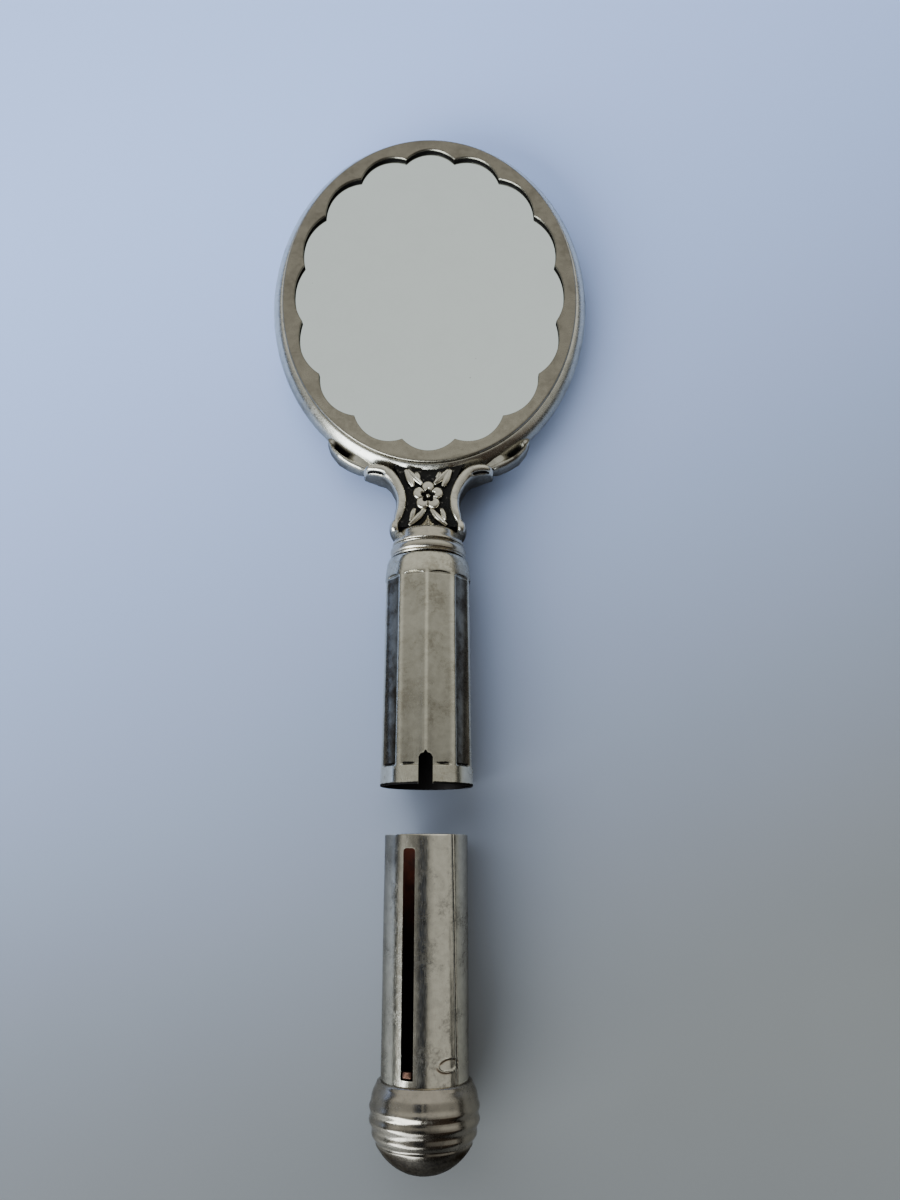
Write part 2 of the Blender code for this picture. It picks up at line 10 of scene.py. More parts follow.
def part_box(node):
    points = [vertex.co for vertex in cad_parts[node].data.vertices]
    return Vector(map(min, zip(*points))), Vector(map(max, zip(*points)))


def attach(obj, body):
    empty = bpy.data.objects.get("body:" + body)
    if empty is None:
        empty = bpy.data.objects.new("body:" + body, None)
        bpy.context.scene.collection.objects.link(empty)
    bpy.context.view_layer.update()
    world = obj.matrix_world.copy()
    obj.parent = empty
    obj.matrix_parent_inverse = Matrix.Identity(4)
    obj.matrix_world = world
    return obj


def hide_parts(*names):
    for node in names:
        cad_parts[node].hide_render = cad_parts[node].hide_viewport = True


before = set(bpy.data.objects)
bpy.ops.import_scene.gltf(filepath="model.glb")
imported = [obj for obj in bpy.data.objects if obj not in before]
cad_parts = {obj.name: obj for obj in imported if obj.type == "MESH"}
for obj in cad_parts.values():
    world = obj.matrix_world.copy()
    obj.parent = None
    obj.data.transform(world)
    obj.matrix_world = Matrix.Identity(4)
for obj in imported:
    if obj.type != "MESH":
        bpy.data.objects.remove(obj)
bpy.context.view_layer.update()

MM = 0.001
TAU = 2 * pi

# Places read from the frame.
tube_low, tube_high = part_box("barrel_tube")
AXIS_Z = (tube_low.z + tube_high.z) / 2
bezel_low, bezel_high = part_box("bezel_frame")
HEAD_HALF_WIDTH = (bezel_high.x - bezel_low.x) / 2
HEAD_HALF_HEIGHT = (bezel_high.y - bezel_low.y) / 2
BEZEL_FRONT = bezel_high.z
RIM_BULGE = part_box("head_rim")[1].x - HEAD_HALF_WIDTH
GLASS_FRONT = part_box("mirror_glass")[1].z
SLEEVE_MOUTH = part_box("fluted_sleeve")[0].y
SLEEVE_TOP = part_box("fluted_sleeve")[1].y
BARREL_RIM = tube_high.y
BARREL_END = tube_low.y
BARREL_RADIUS = (tube_high.x - tube_low.x) / 2
SHOULDER_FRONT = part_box("shoulder_front")[1].z - AXIS_Z
SHOULDER_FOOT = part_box("shoulder_front")[0].y
FLOWER_MIDDLE = (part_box("flower_front")[0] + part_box("flower_front")[1]) / 2
SHELL_GAP = 0.3 * MM
BALL_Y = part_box("ball_upper_shell")[0].y - SHELL_GAP / 2
BALL_RADIUS = 9.0 * MM

# --- camera

CAMERA_HEIGHT = 165.0 * MM
CAMERA_PLACE = (4.1 * MM, -108.25 * MM, AXIS_Z + CAMERA_HEIGHT)
CAMERA_TILT_DEG = 15.5
SENSOR_HEIGHT_MM = 24.0
LENS_MM = 18.5


def add_object(name, data):
    obj = bpy.data.objects.new(name, data)
    bpy.context.scene.collection.objects.link(obj)
    return obj


def make_camera():
    data = bpy.data.cameras.new("camera")
    data.sensor_fit = "VERTICAL"
    data.sensor_height = SENSOR_HEIGHT_MM
    data.lens = LENS_MM
    data.clip_start = 0.01
    data.clip_end = 20.0
    camera = add_object("camera", data)
    camera.location = CAMERA_PLACE
    camera.rotation_euler = (radians(CAMERA_TILT_DEG), 0.0, 0.0)
    bpy.context.scene.camera = camera


# --- materials


class Graph:
    """Short names for building the node tree of a material or of the world."""

    def __init__(self, owner, shader, space):
        owner.use_nodes = True
        self.owner = owner
        self.tree = owner.node_tree
        self.shader = self.tree.nodes[shader]
        self.coords = self.node("TexCoord").outputs[space]

    def link(self, source, target):
        self.tree.links.new(source, target)

    def put(self, socket, value):
        if hasattr(value, "is_output"):
            self.link(value, socket)
        else:
            socket.default_value = (*value, 1.0) if socket.type == "RGBA" else value

    def node(self, kind, **inputs):
        """A new node, with values or links for the inputs that are named, with _ for a space."""
        node = self.tree.nodes.new("ShaderNode" + kind)
        for name, value in inputs.items():
            self.put(node.inputs[name.replace("_", " ")], value)
        return node

    def noise(self, size_mm, detail=4.0, roughness=0.55, stretch=(1, 1, 1), shift=0.0):
        """Noise whose features are about size_mm across, and longer where stretch is over 1."""
        place = self.node("Mapping", Vector=self.coords, Scale=[1 / s for s in stretch],
                          Location=(shift, shift * 0.7, shift * 1.3)).outputs["Vector"]
        return self.node("TexNoise", Vector=place, Scale=1 / (size_mm * MM), Detail=detail,
                         Roughness=roughness).outputs["Fac"]

    def cells(self, size_mm):
        """Distance from the nearest of scattered points, in cell widths."""
        return self.node("TexVoronoi", Vector=self.coords, Scale=1 / (size_mm * MM)).outputs["Distance"]

    def ramp(self, value, low, high, out_low=0.0, out_high=1.0):
        """Reads out_low up to low, and out_high from high, with an eased change in between."""
        node = self.node("MapRange", Value=value, From_Min=low, From_Max=high, To_Min=out_low,
                         To_Max=out_high)
        node.interpolation_type = "SMOOTHSTEP"
        return node.outputs["Result"]

    def math(self, operation, first, second):
        node = self.node("Math")
        node.operation = operation
        self.put(node.inputs[0], first)
        self.put(node.inputs[1], second)
        return node.outputs[0]

    def plus(self, first, second):
        return self.math("ADD", first, second)

    def times(self, first, second):
        return self.math("MULTIPLY", first, second)

    def larger(self, first, second):
        return self.math("MAXIMUM", first, second)

    def mix(self, share, first, second):
        """Mixes two colours."""
        node = self.node("Mix", Factor=share)
        node.data_type = "RGBA"
        start, end = [socket for socket in node.inputs if socket.type == "RGBA"]
        self.put(start, first)
        self.put(end, second)
        return [socket for socket in node.outputs if socket.type == "RGBA"][0]

    def place(self):
        """The coordinates, as three outputs X, Y and Z."""
        return self.node("SeparateXYZ", Vector=self.coords).outputs

    def attribute(self, name):
        node = self.node("Attribute")
        node.attribute_name = name
        return node.outputs["Fac"]

    def bump(self, height, distance_mm, strength=1.0, below=None):
        node = self.node("Bump", Height=height, Distance=distance_mm * MM, Strength=strength)
        if below:
            self.link(below, node.inputs["Normal"])
        return node.outputs["Normal"]

    def finish(self, color, roughness, metallic, normal=None):
        for name, value in (("Base Color", color), ("Roughness", roughness), ("Metallic", metallic)):
            self.put(self.shader.inputs[name], value)
        if normal:
            self.link(normal, self.shader.inputs["Normal"])
        return self.owner


def new_material(name):
    return Graph(bpy.data.materials.new(name), "Principled BSDF", "Object")


# Dark brown of dullness and painted shade, and black of oxide and painted shade.
DULL_AND_SHADE = (0.06, 0.05, 0.04)
SOOT_AND_SHADE = (0.018, 0.016, 0.015)
WHITE = (1.0, 1.0, 1.0)
DULL_AND_SHADE_TINT = (0.34, 0.32, 0.30)


def silver(name, clean, stain, stain_cover, roughness, dent_mm, shift, brushed):
    """Worn silver with mottled tarnish, dents and fine scratches. The attribute of dullness and painted shade
    darkens it evenly, and the attribute of soot and painted shade covers it with ragged black: oxide in seams
    and hollows, and painted shade on the ball's end."""
    g = new_material(name)
    blotch = g.noise(5.0, detail=6.0, roughness=0.65, shift=shift)
    speckle = g.noise(0.55, detail=5.0, roughness=0.7, shift=shift + 3)
    mottled = g.plus(g.times(blotch, 0.6), g.times(speckle, 0.4))
    cover = g.ramp(mottled, 0.62 - 0.3 * stain_cover, 0.72 - 0.2 * stain_cover)
    color = g.mix(g.times(cover, 0.75), clean, stain)
    fine = g.noise(1.3, detail=3.0, shift=shift + 7)
    color = g.mix(g.ramp(fine, 0.35, 0.7, 0.0, 0.22), color, tuple(0.62 * c for c in stain))
    # Dullness and painted shade: an even darkening towards dark brown. On most pieces it stands for painted
    # shade and painted reflection of a dark room.
    dull = g.times(g.attribute("dull"), g.ramp(blotch, 0.3, 0.7, 0.75, 1.0))
    color = g.mix(dull, color, DULL_AND_SHADE)
    pits = g.ramp(g.cells(1.9), 0.02, 0.085, 1.0, 0.0)
    pit_places = g.ramp(g.noise(3.1, shift=shift + 11), 0.6, 0.68)
    dirt = g.times(pits, pit_places)
    # Soot and painted shade: ragged black oxide in seams and hollows, and painted shade on the ball's end.
    ragged = g.plus(g.attribute("soot"), g.times(g.math("SUBTRACT", speckle, 0.5), 0.7))
    soot = g.larger(g.ramp(ragged, 0.30, 0.62), g.times(dirt, 0.8))
    color = g.mix(soot, color, SOOT_AND_SHADE)
    scratch = g.noise(0.16, detail=2.0, stretch=(1, brushed, 1), shift=shift + 5)
    rough = g.plus(g.ramp(cover, 0.0, 1.0, roughness, roughness + 0.12),
                   g.ramp(scratch, 0.3, 0.75, -0.03, 0.07))
    rough = g.plus(rough, g.times(g.larger(soot, g.times(dull, 0.2)), 0.35))
    hammered = g.bump(g.noise(3.2, detail=2.0, shift=shift + 9), dent_mm, 0.8)
    relief = g.math("SUBTRACT", g.times(scratch, 0.5), g.times(soot, 0.8))
    surface = g.bump(relief, 0.012, 0.6, hammered)
    # Reflections are tinted darker under oxide, dullness and painted shade.
    g.link(g.mix(g.larger(dull, soot), WHITE, DULL_AND_SHADE_TINT), g.shader.inputs["Specular Tint"])
    return g.finish(color, rough, 1.0, surface)


def oxidised(name):
    """Black ground behind the relief, stippled and rubbed bright here and there."""
    g = new_material(name)
    stipple = g.cells(0.42)
    rubbed = g.ramp(g.noise(0.9, detail=5.0, roughness=0.7), 0.56, 0.74)
    color = g.mix(g.times(rubbed, 0.8), (0.016, 0.015, 0.014), (0.30, 0.27, 0.23))
    normal = g.bump(stipple, 0.12, 0.8)
    return g.finish(color, g.ramp(rubbed, 0.0, 1.0, 0.55, 0.33), 0.85, normal)


def mirror_plate(name):
    """Old silvered glass: very smooth, faintly green, with a few pinholes and a film of dust."""
    g = new_material(name)
    holes = g.times(g.ramp(g.cells(4.3), 0.012, 0.03, 1.0, 0.0), g.ramp(g.noise(9.0), 0.5, 0.6))
    dust = g.ramp(g.noise(7.0, detail=8.0, roughness=0.7), 0.35, 0.8)
    color = g.mix(g.times(dust, 0.14), (0.80, 0.86, 0.83), (0.64, 0.67, 0.65))
    color = g.mix(g.times(holes, 0.85), color, (0.06, 0.05, 0.045))
    return g.finish(color, g.ramp(dust, 0.0, 1.0, 0.015, 0.05), 1.0)


def stained_bore(name):
    """Inside of the barrel: dark metal with dried lipstick, reddest near the mouth."""
    g = new_material(name)
    near_mouth = g.ramp(g.place()["Y"], BARREL_RIM - 22 * MM, BARREL_RIM - 2 * MM)
    patchy = g.ramp(g.noise(2.4, detail=5.0), 0.35, 0.65, 0.35, 1.0)
    color = g.mix(g.times(near_mouth, patchy), (0.018, 0.013, 0.012), (0.17, 0.042, 0.022))
    return g.finish(color, g.ramp(patchy, 0.35, 1.0, 0.45, 0.7), 0.35, g.bump(g.noise(0.5, detail=4.0), 0.05))


def carrier_brass(name):
    g = new_material(name)
    stain = g.ramp(g.noise(1.6, detail=6.0, roughness=0.7), 0.4, 0.62)
    color = g.mix(stain, (0.10, 0.05, 0.032), (0.05, 0.025, 0.02))
    return g.finish(color, g.ramp(stain, 0.0, 1.0, 0.35, 0.6), 0.9, g.bump(g.noise(0.4, detail=4.0), 0.03))


def packing_card(name):
    g = new_material(name)
    fibre = g.noise(0.5, detail=8.0, roughness=0.75, stretch=(1, 4, 1))
    color = g.mix(g.ramp(fibre, 0.3, 0.7), (0.34, 0.27, 0.18), (0.50, 0.42, 0.30))
    return g.finish(color, g.ramp(fibre, 0.3, 0.7, 0.85, 0.95), 0.0, g.bump(fibre, 0.08))


GREY = (0.40, 0.375, 0.32)

# Clean and stained colour, share of stain, roughness, depth of dents in mm, a shift of the patterns, and how
# far scratches stretch along the handle.
SILVERS = {
    "satin": ((0.37, 0.337, 0.265), (0.29, 0.26, 0.20), 0.50, 0.27, 0.04, 0.0, 1),
    "relief": ((0.72, 0.675, 0.555), GREY, 0.35, 0.24, 0.03, 2.0, 1),
    "rim": ((0.66, 0.63, 0.53), GREY, 0.35, 0.24, 0.05, 4.0, 1),
    "neck": ((0.56, 0.51, 0.405), GREY, 0.40, 0.21, 0.04, 5.0, 1),
    "sleeve": ((0.78, 0.735, 0.59), (0.50, 0.445, 0.33), 0.50, 0.16, 0.04, 6.0, 6),
    "barrel": ((0.94, 0.875, 0.715), GREY, 0.38, 0.17, 0.07, 8.0, 8),
    "ball": ((0.63, 0.56, 0.45), GREY, 0.40, 0.17, 0.05, 12.0, 1),
}
LOOKS = {look: silver(look + "_silver", *values) for look, values in SILVERS.items()}
LOOKS["oxidised"] = oxidised("oxidised_silver")
LOOKS["mirror"] = mirror_plate("mirror_plate")
LOOKS["bore"] = stained_bore("stained_bore")
LOOKS["brass"] = carrier_brass("carrier_brass")
LOOKS["card"] = packing_card("packing_card")


# --- mesh helpers


WELD = 0.0005 * MM


def new_mesh(name, verts, faces, **shades):
    """A welded mesh with its faces turned outwards. Each shade is one number for every point."""
    mesh = bpy.data.meshes.new(name)
    mesh.from_pydata(verts, [], faces)
    for shade, values in shades.items():
        layer = mesh.attributes.new(shade, "FLOAT", "POINT")
        layer.data.foreach_set("value", values or [0.0] * len(verts))
    work = bmesh.new()
    work.from_mesh(mesh)
    bmesh.ops.remove_doubles(work, verts=work.verts, dist=WELD)
    bmesh.ops.recalc_face_normals(work, faces=work.faces)
    work.to_mesh(mesh)
    work.free()
    return mesh


def piece(name, verts, faces, look, body, node, soot=None, sharp_deg=40.0, dull=None):
    """A finished mesh that stands for a CAD node and rides on its body."""
    mesh = new_mesh(name, verts, faces, soot=soot, dull=dull)
    mesh.materials.append(LOOKS[look])
    obj = add_object(name, mesh)
    shade_smooth(obj, sharp_deg)
    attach(obj, body)
    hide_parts(node)
    return obj


def shade_smooth(obj, sharp_deg):
    obj.data.shade_smooth()
    obj.data.set_sharp_from_angle(angle=radians(sharp_deg))


def grid_faces(rows, columns, close_rows, close_columns, first=0):
    """Quads over a grid of points kept row by row."""
    faces = []
    for i in range(rows if close_rows else rows - 1):
        for j in range(columns if close_columns else columns - 1):
            k = (i + 1) % rows
            m = (j + 1) % columns
            faces.append((first + i * columns + j, first + k * columns + j, first + k * columns + m,
                          first + i * columns + m))
    return faces


def turns(count):
    """Evenly spaced angles, once all the way round."""
    return [TAU * j / count for j in range(count)]


def cap_ends(faces, points, count):
    """Closes the first and the last ring of a tube whose rings have count points."""
    faces.append(tuple(range(count))[::-1])
    faces.append(tuple(range(points - count, points)))


def at(x, y, up):
    """A point given in millimetres, with its height above the handle's axis."""
    return x * MM, y * MM, AXIS_Z + up * MM


def on_axis(radius, angle, y):
    """A point round the handle's axis. The angle is 0 at the top, and grows towards +X."""
    return radius * sin(angle), y, AXIS_Z + radius * cos(angle)


def catmull(points, steps, closed=False):
    """A smooth line through the points, with that many steps from each to the next."""
    count = len(points)
    line = []
    for i in range(count if closed else count - 1):
        near = [i + k for k in (-1, 0, 1, 2)]
        quad = [points[k % count] if closed else points[min(max(k, 0), count - 1)] for k in near]
        for step in range(steps):
            t = step / steps
            line.append(tuple(
                0.5 * (2 * b + (c - a) * t + (2 * a - 5 * b + 4 * c - d) * t * t
                       + (3 * b - a - 3 * c + d) * t ** 3)
                for a, b, c, d in zip(*quad)))
    if not closed:
        line.append(tuple(points[-1]))
    return line


def smoothstep(value, low, high):
    t = min(max((value - low) / (high - low), 0.0), 1.0)
    return t * t * (3 - 2 * t)


CORNER_STEPS = 4


def round_corners(points, radius, closed=False):
    """Each corner of a section cut back by radius and rounded. An open section keeps its two ends."""
    count = len(points)
    line = []
    for i, here in enumerate(points):
        if not closed and i in (0, count - 1):
            line.append(here)
            continue
        before = Vector(points[i - 1]) - Vector(here)
        after = Vector(points[(i + 1) % count]) - Vector(here)
        cut = min(radius, before.length * 0.45, after.length * 0.45)
        start = Vector(here) + before.normalized() * cut
        end = Vector(here) + after.normalized() * cut
        for step in range(CORNER_STEPS + 1):
            t = step / CORNER_STEPS
            point = start * (1 - t) ** 2 + Vector(here) * 2 * t * (1 - t) + end * t * t
            line.append(tuple(point))
    return line


def dented(place, depth, size_mm):
    """A gentle unevenness of worn sheet metal, the same on every run."""
    return depth * noise.noise(Vector(place) / (size_mm * MM))


def lathe(profile, columns, shape=None):
    """Points and faces of a closed section of (radius, y) turned on the handle's axis, in metres.
    shape(angle, radius, y) may change the radius."""
    verts = []
    for radius, y in profile:
        for angle in turns(columns):
            r = shape(angle, radius, y) if shape else radius
            verts.append(on_axis(r, angle, y))
    return verts, grid_faces(len(profile), columns, True, True)


def oval_point(half_width, half_height, angle, outside=0.0):
    """A point of an oval, moved out along its normal. Angles run from +X towards +Y."""
    x = half_width * cos(angle)
    y = half_height * sin(angle)
    normal = Vector((half_height * cos(angle), half_width * sin(angle))).normalized()
    return x + outside * normal.x, y + outside * normal.y


def head_point(angle, outside=0.0):
    return oval_point(HEAD_HALF_WIDTH, HEAD_HALF_HEIGHT, angle, outside)


def sweep(route, section):
    """A closed section of (across, up) carried along a level route of (x, y, width scale, height scale)."""
    verts = []
    for i, (x, y, wide, high) in enumerate(route):
        back = route[max(i - 1, 0)]
        ahead = route[min(i + 1, len(route) - 1)]
        along = Vector((ahead[0] - back[0], ahead[1] - back[1])).normalized()
        for across, up in section:
            verts.append((x - along.y * across * wide, y + along.x * across * wide, AXIS_Z + up * high))
    count = len(section)
    faces = grid_faces(len(route), count, False, True)
    cap_ends(faces, len(verts), count)
    return verts, faces


def between(table, place):
    """Straight-line reading of a table of (place, value) pairs, in rising order."""
    if place <= table[0][0]:
        return table[0][1]
    for (x1, y1), (x2, y2) in zip(table, table[1:]):
        if place <= x2:
            return y1 + (y2 - y1) * (place - x1) / (x2 - x1)
    return table[-1][1]


def cut_away(obj, cutter):
    """Subtracts the cutter for good, and removes it."""
    modifier = obj.modifiers.new("cut", "BOOLEAN")
    modifier.object = cutter
    modifier.solver = "EXACT"
    modifier.use_self = False
    bpy.context.view_layer.update()
    graph = bpy.context.evaluated_depsgraph_get()
    mesh = bpy.data.meshes.new_from_object(obj.evaluated_get(graph))
    obj.modifiers.clear()
    old = obj.data
    obj.data = mesh
    bpy.data.meshes.remove(old)
    bpy.data.objects.remove(cutter, do_unlink=True)


def prism(name, outline, low, high, place, lean=0.0):
    """A cutter: a flat outline extruded upwards, then leaned about the handle's axis."""
    faces = grid_faces(2, len(outline), False, True)
    cap_ends(faces, 2 * len(outline), len(outline))
    mesh = new_mesh(name, [(x, y, z) for z in (low, high) for x, y in outline], faces)
    mesh.transform(Matrix.Translation((0.0, place, AXIS_Z)) @ Matrix.Rotation(-lean, 4, "Y"))
    return add_object(name, mesh)


# --- head

SCALLOPS = 16
SCALLOP_STEPS = 24
CUSP_HALF_WIDTH = 25.6 * MM
CUSP_HALF_HEIGHT = 32.3 * MM
SCALLOP_SIDE_RISE = 1.25 * MM
SCALLOP_TOP_RISE = 1.8 * MM
WALL_FOOT = (GLASS_FRONT - BEZEL_FRONT) / MM + 0.03


def scallop_point(index):
    share = index / SCALLOP_STEPS
    angle = TAU * (share - 0.5) / SCALLOPS
    across = 2 * (share % 1.0) - 1
    rise = SCALLOP_SIDE_RISE + (SCALLOP_TOP_RISE - SCALLOP_SIDE_RISE) * abs(sin(angle))
    return oval_point(CUSP_HALF_WIDTH, CUSP_HALF_HEIGHT, angle, rise * (1 - across * across)), angle


# Across from the outer edge or back from the lip, height from the front, and how black, in millimetres.
BEZEL_EDGE = [(0.35, -0.68, 0.6), (0.02, -0.66, 0.6), (0.0, -0.52, 0.15), (0.03, -0.33, 0.0),
              (0.1, -0.15, 0.0), (0.24, -0.04, 0.0), (0.42, 0.0, 0.0)]
BEZEL_LIP = [(0.36, -0.02, 0.0), (0.2, -0.04, 0.0), (0.09, -0.1, 0.0), (0.02, -0.22, 0.0), (0.0, -0.36, 0.3),
             (0.0, -0.6, 0.8), (0.0, WALL_FOOT, 1.0), (0.5, WALL_FOOT, 1.0), (0.6, -0.7, 1.0)]


def make_bezel():
    """A flat scalloped frame with a rolled outer edge and an eased lip round the glass."""
    front = BEZEL_FRONT
    verts = []
    soot = []
    dull = []
    columns = SCALLOPS * SCALLOP_STEPS
    rows = 0
    for index in range(columns):
        inner, angle = scallop_point(index)
        outer = head_point(angle)
        width = dist(inner, outer) / MM
        field = [(0.42 + (width - 0.84) * t, -0.05 * sin(pi * t), 0.0) for t in (0.2, 0.4, 0.6, 0.8)]
        section = BEZEL_EDGE + field + [(width - back, up, dark) for back, up, dark in BEZEL_LIP]
        rows = len(section)
        for across, up, dark in section:
            share = across / width
            x = outer[0] + (inner[0] - outer[0]) * share
            y = outer[1] + (inner[1] - outer[1]) * share
            verts.append((x, y, front + up * MM + dented((x, y, 0.0), 0.02 * MM, 6.0)))
            soot.append(dark)
            # Painted shade: the frame is darker towards the top of the head.
            dull.append(0.34 * smoothstep(y / MM, -34.0, -8.0))
    faces = grid_faces(columns, rows, True, True)
    piece("bezel", verts, faces, "satin", "mirror", "bezel_frame", soot, dull=dull)


# How far out from the head's oval, height from the handle's axis, and how black.
RIM_SECTION = [(-0.9, 3.05, 0.6), (-0.3, 3.22, 0.4), (0.02, 3.28, 0.15), (0.22, 3.25, 0.0),
               (0.6, 3.0, 0.0), (1.15, 2.52, 0.0), (1.75, 1.78, 0.0), (2.1, 1.0, 0.0), (2.2, 0.35, 0.0),
               (2.12, -0.5, 0.0), (1.75, -1.4, 0.0), (1.05, -2.3, 0.0), (0.1, -3.05, 0.05),
               (-0.35, -3.3, 0.7), (-0.8, -3.2, 1.0), (-0.5, -2.4, 1.0), (0.6, -1.1, 1.0), (1.2, 0.2, 1.0),
               (0.6, 1.6, 1.0), (-0.8, 2.1, 1.0)]


def make_rim():
    """The head's bulging side wall."""
    section = catmull(RIM_SECTION, 4, closed=True)
    columns = 256
    verts = []
    soot = []
    dull = []
    for i in range(columns):
        angle = TAU * i / columns
        for across, up, dark in section:
            x, y = head_point(angle, across * MM)
            swell = dented((x, y, up * MM), 0.03 * MM, 9.0)
            x, y = head_point(angle, min(across * MM + swell, RIM_BULGE))
            verts.append((x, y, AXIS_Z + up * MM))
            soot.append(dark)
            # Painted shade: the outer wall, below its slope by the bezel, darkens towards the bottom and
            # towards the right.
            below = 0.5 * smoothstep(-y / MM, 4.0, 22.0)
            beside = 0.4 * smoothstep(x / MM, 8.0, 26.0)
            dull.append(smoothstep(2.6 - up, 0.0, 1.2) * max(below, beside))
    faces = grid_faces(columns, len(section), True, True)
    piece("rim_wall", verts, faces, "rim", "mirror", "head_rim", soot, dull=dull)


# Radius along the oval's width, height from the handle's axis, and how black.
COVER_SECTION = [(28.75, -3.2, 0.9), (28.7, -3.5, 0.3), (28.2, -3.95, 0.0), (27.5, -4.35, 0.1),
                 (27.15, -4.42, 0.8), (26.8, -4.42, 0.1), (25.8, -4.78, 0.0), (24.0, -5.2, 0.0),
                 (22.0, -5.6, 0.0), (20.0, -5.9, 0.0), (18.0, -6.12, 0.0), (16.2, -6.26, 0.0),
                 (15.3, -6.28, 0.1), (15.0, -6.2, 0.8), (14.7, -6.28, 0.1), (14.0, -6.3, 0.0),
                 (10.0, -6.3, 0.0), (5.0, -6.3, 0.0), (0.0, -6.3, 0.0)]
COVER_INSIDE = [(0.0, -5.5, 0.5), (14.0, -5.5, 0.5), (22.0, -4.8, 0.5), (26.0, -3.8, 0.5), (28.2, -2.95, 0.9)]


def make_back_cover():
    """A shallow domed back with a lined border and a flat oval field in the middle."""
    columns = 192
    verts = []
    soot = []
    section = COVER_SECTION + COVER_INSIDE
    stretch = HEAD_HALF_HEIGHT / HEAD_HALF_WIDTH
    for radius, up, dark in section:
        for angle in turns(columns):
            x = radius * MM * cos(angle)
            y = radius * MM * sin(angle) * stretch
            verts.append((x, y, AXIS_Z + up * MM))
            soot.append(dark)
    faces = grid_faces(len(section), columns, True, True)
    piece("back_dish", verts, faces, "satin", "mirror", "back_cover", soot, sharp_deg=60.0)


# --- shoulder

# Clear half width between the scrolls, by the distance down from the head's middle.
CLEAR = [(37.06, 7.06), (38.07, 5.98), (39.48, 5.15), (41.2, 4.33), (43.2, 3.91), (45.2, 3.94), (47.05, 4.38),
         (48.05, 4.78), (49.4, 5.1)]
UNDER_SCROLL = 0.35
GROUND_TOP = -37.45
LAP_REACH = 2.5
LAP_GAP = 0.12
RIM_SLOPE = [(0.0, 3.28), (0.6, 3.0), (1.15, 2.52), (1.75, 1.78), (2.1, 1.0), (2.2, 0.35)]


def make_shoulder(side, sign):
    """Black ground that dips between the scrolls and laps a little way over the head's wall."""
    foot = SHOULDER_FOOT / MM
    rows = 40
    columns = 24
    verts = []
    for face in (1, 0):
        for i in range(rows + 1):
            y = GROUND_TOP + (foot - GROUND_TOP) * i / rows
            half = between(CLEAR, -y) + UNDER_SCROLL
            for j in range(columns + 1):
                t = 2 * j / columns - 1
                x = half * t
                arch = sqrt(1 - (x / (HEAD_HALF_WIDTH / MM)) ** 2)
                y_here = y + (1 - arch) * HEAD_HALF_HEIGHT / MM * (1 - smoothstep(i / rows, 0.0, 0.3))
                outside = max(-y_here / arch - HEAD_HALF_HEIGHT / MM, 0.0)
                if face:
                    dip = 0.18 * (1 - t * t) + 0.75 * (1 - smoothstep(i / rows, 0.0, 0.16))
                    up = SHOULDER_FRONT / MM - dip
                elif outside < LAP_REACH:
                    up = min(between(RIM_SLOPE, outside) - LAP_GAP, SHOULDER_FRONT / MM - 0.5)
                else:
                    up = 0.15
                verts.append(at(x, y_here, sign * up))
    count = (rows + 1) * (columns + 1)
    faces = grid_faces(rows + 1, columns + 1, False, False)
    faces += grid_faces(rows + 1, columns + 1, False, False, count)
    wide = columns + 1
    edge = list(range(wide))
    edge += [i * wide + columns for i in range(1, rows + 1)]
    edge += [rows * wide + j for j in range(columns - 1, -1, -1)]
    edge += [i * wide for i in range(rows - 1, 0, -1)]
    for a, b in zip(edge, edge[1:] + edge[:1]):
        faces.append((a, b, b + count, a + count))
    piece("ground_" + side, verts, faces, "oxidised", "mirror", "shoulder_" + side,
          sharp_deg=50.0)


# Left-hand scroll, from its tip under the head to its foot on the collar: the crest's x and y, then the width
# and the height of the section there.
SCROLL_CREST = [(-12.15, -38.45, 0.1, 0.35), (-12.05, -38.3, 0.45, 0.6), (-11.8, -38.1, 0.72, 0.78),
                (-11.4, -37.93, 0.9, 0.89), (-10.8, -37.82, 1.0, 0.96), (-9.6, -37.87, 1.08, 1.0),
                (-8.3, -38.2, 1.12, 1.0), (-7.2, -38.9, 1.12, 1.0),
                (-6.3, -39.95, 1.08, 1.0), (-5.5, -41.35, 1.04, 1.0), (-4.88, -43.0, 1.0, 1.0),
                (-4.72, -44.5, 0.98, 1.0), (-4.88, -46.0, 0.93, 1.0), (-5.25, -47.3, 0.86, 0.98),
                (-5.7, -48.35, 0.66, 0.93), (-6.0, -49.0, 0.8, 0.96), (-6.05, -49.7, 0.85, 0.96),
                (-5.95, -50.3, 0.7, 0.9)]
# The section's halves: across, counted away from the shoulder's middle, and height from the axis.
SCROLL_FRONT = [(-0.72, 0.0), (-0.74, 2.6), (-0.76, 3.7), (-0.68, 4.2), (-0.46, 4.5), (-0.1, 4.59),
                (0.3, 4.56), (0.55, 4.48), (0.66, 4.42), (0.74, 4.36), (0.82, 4.28), (0.9, 4.18),
                (0.98, 4.06), (1.1, 3.8), (1.24, 3.2), (1.34, 2.2), (1.38, 1.0)]
SCROLL_BACK = [(1.36, 0.3), (1.24, -0.9), (1.0, -2.1), (0.66, -3.3), (0.3, -4.1), (-0.1, -4.45), (-0.5, -4.4),
               (-0.74, -4.0), (-0.74, -2.6)]
CREASE_ACROSS = 0.76
CREASE_WIDTH = 0.2
CREASE_DEPTH = 0.75


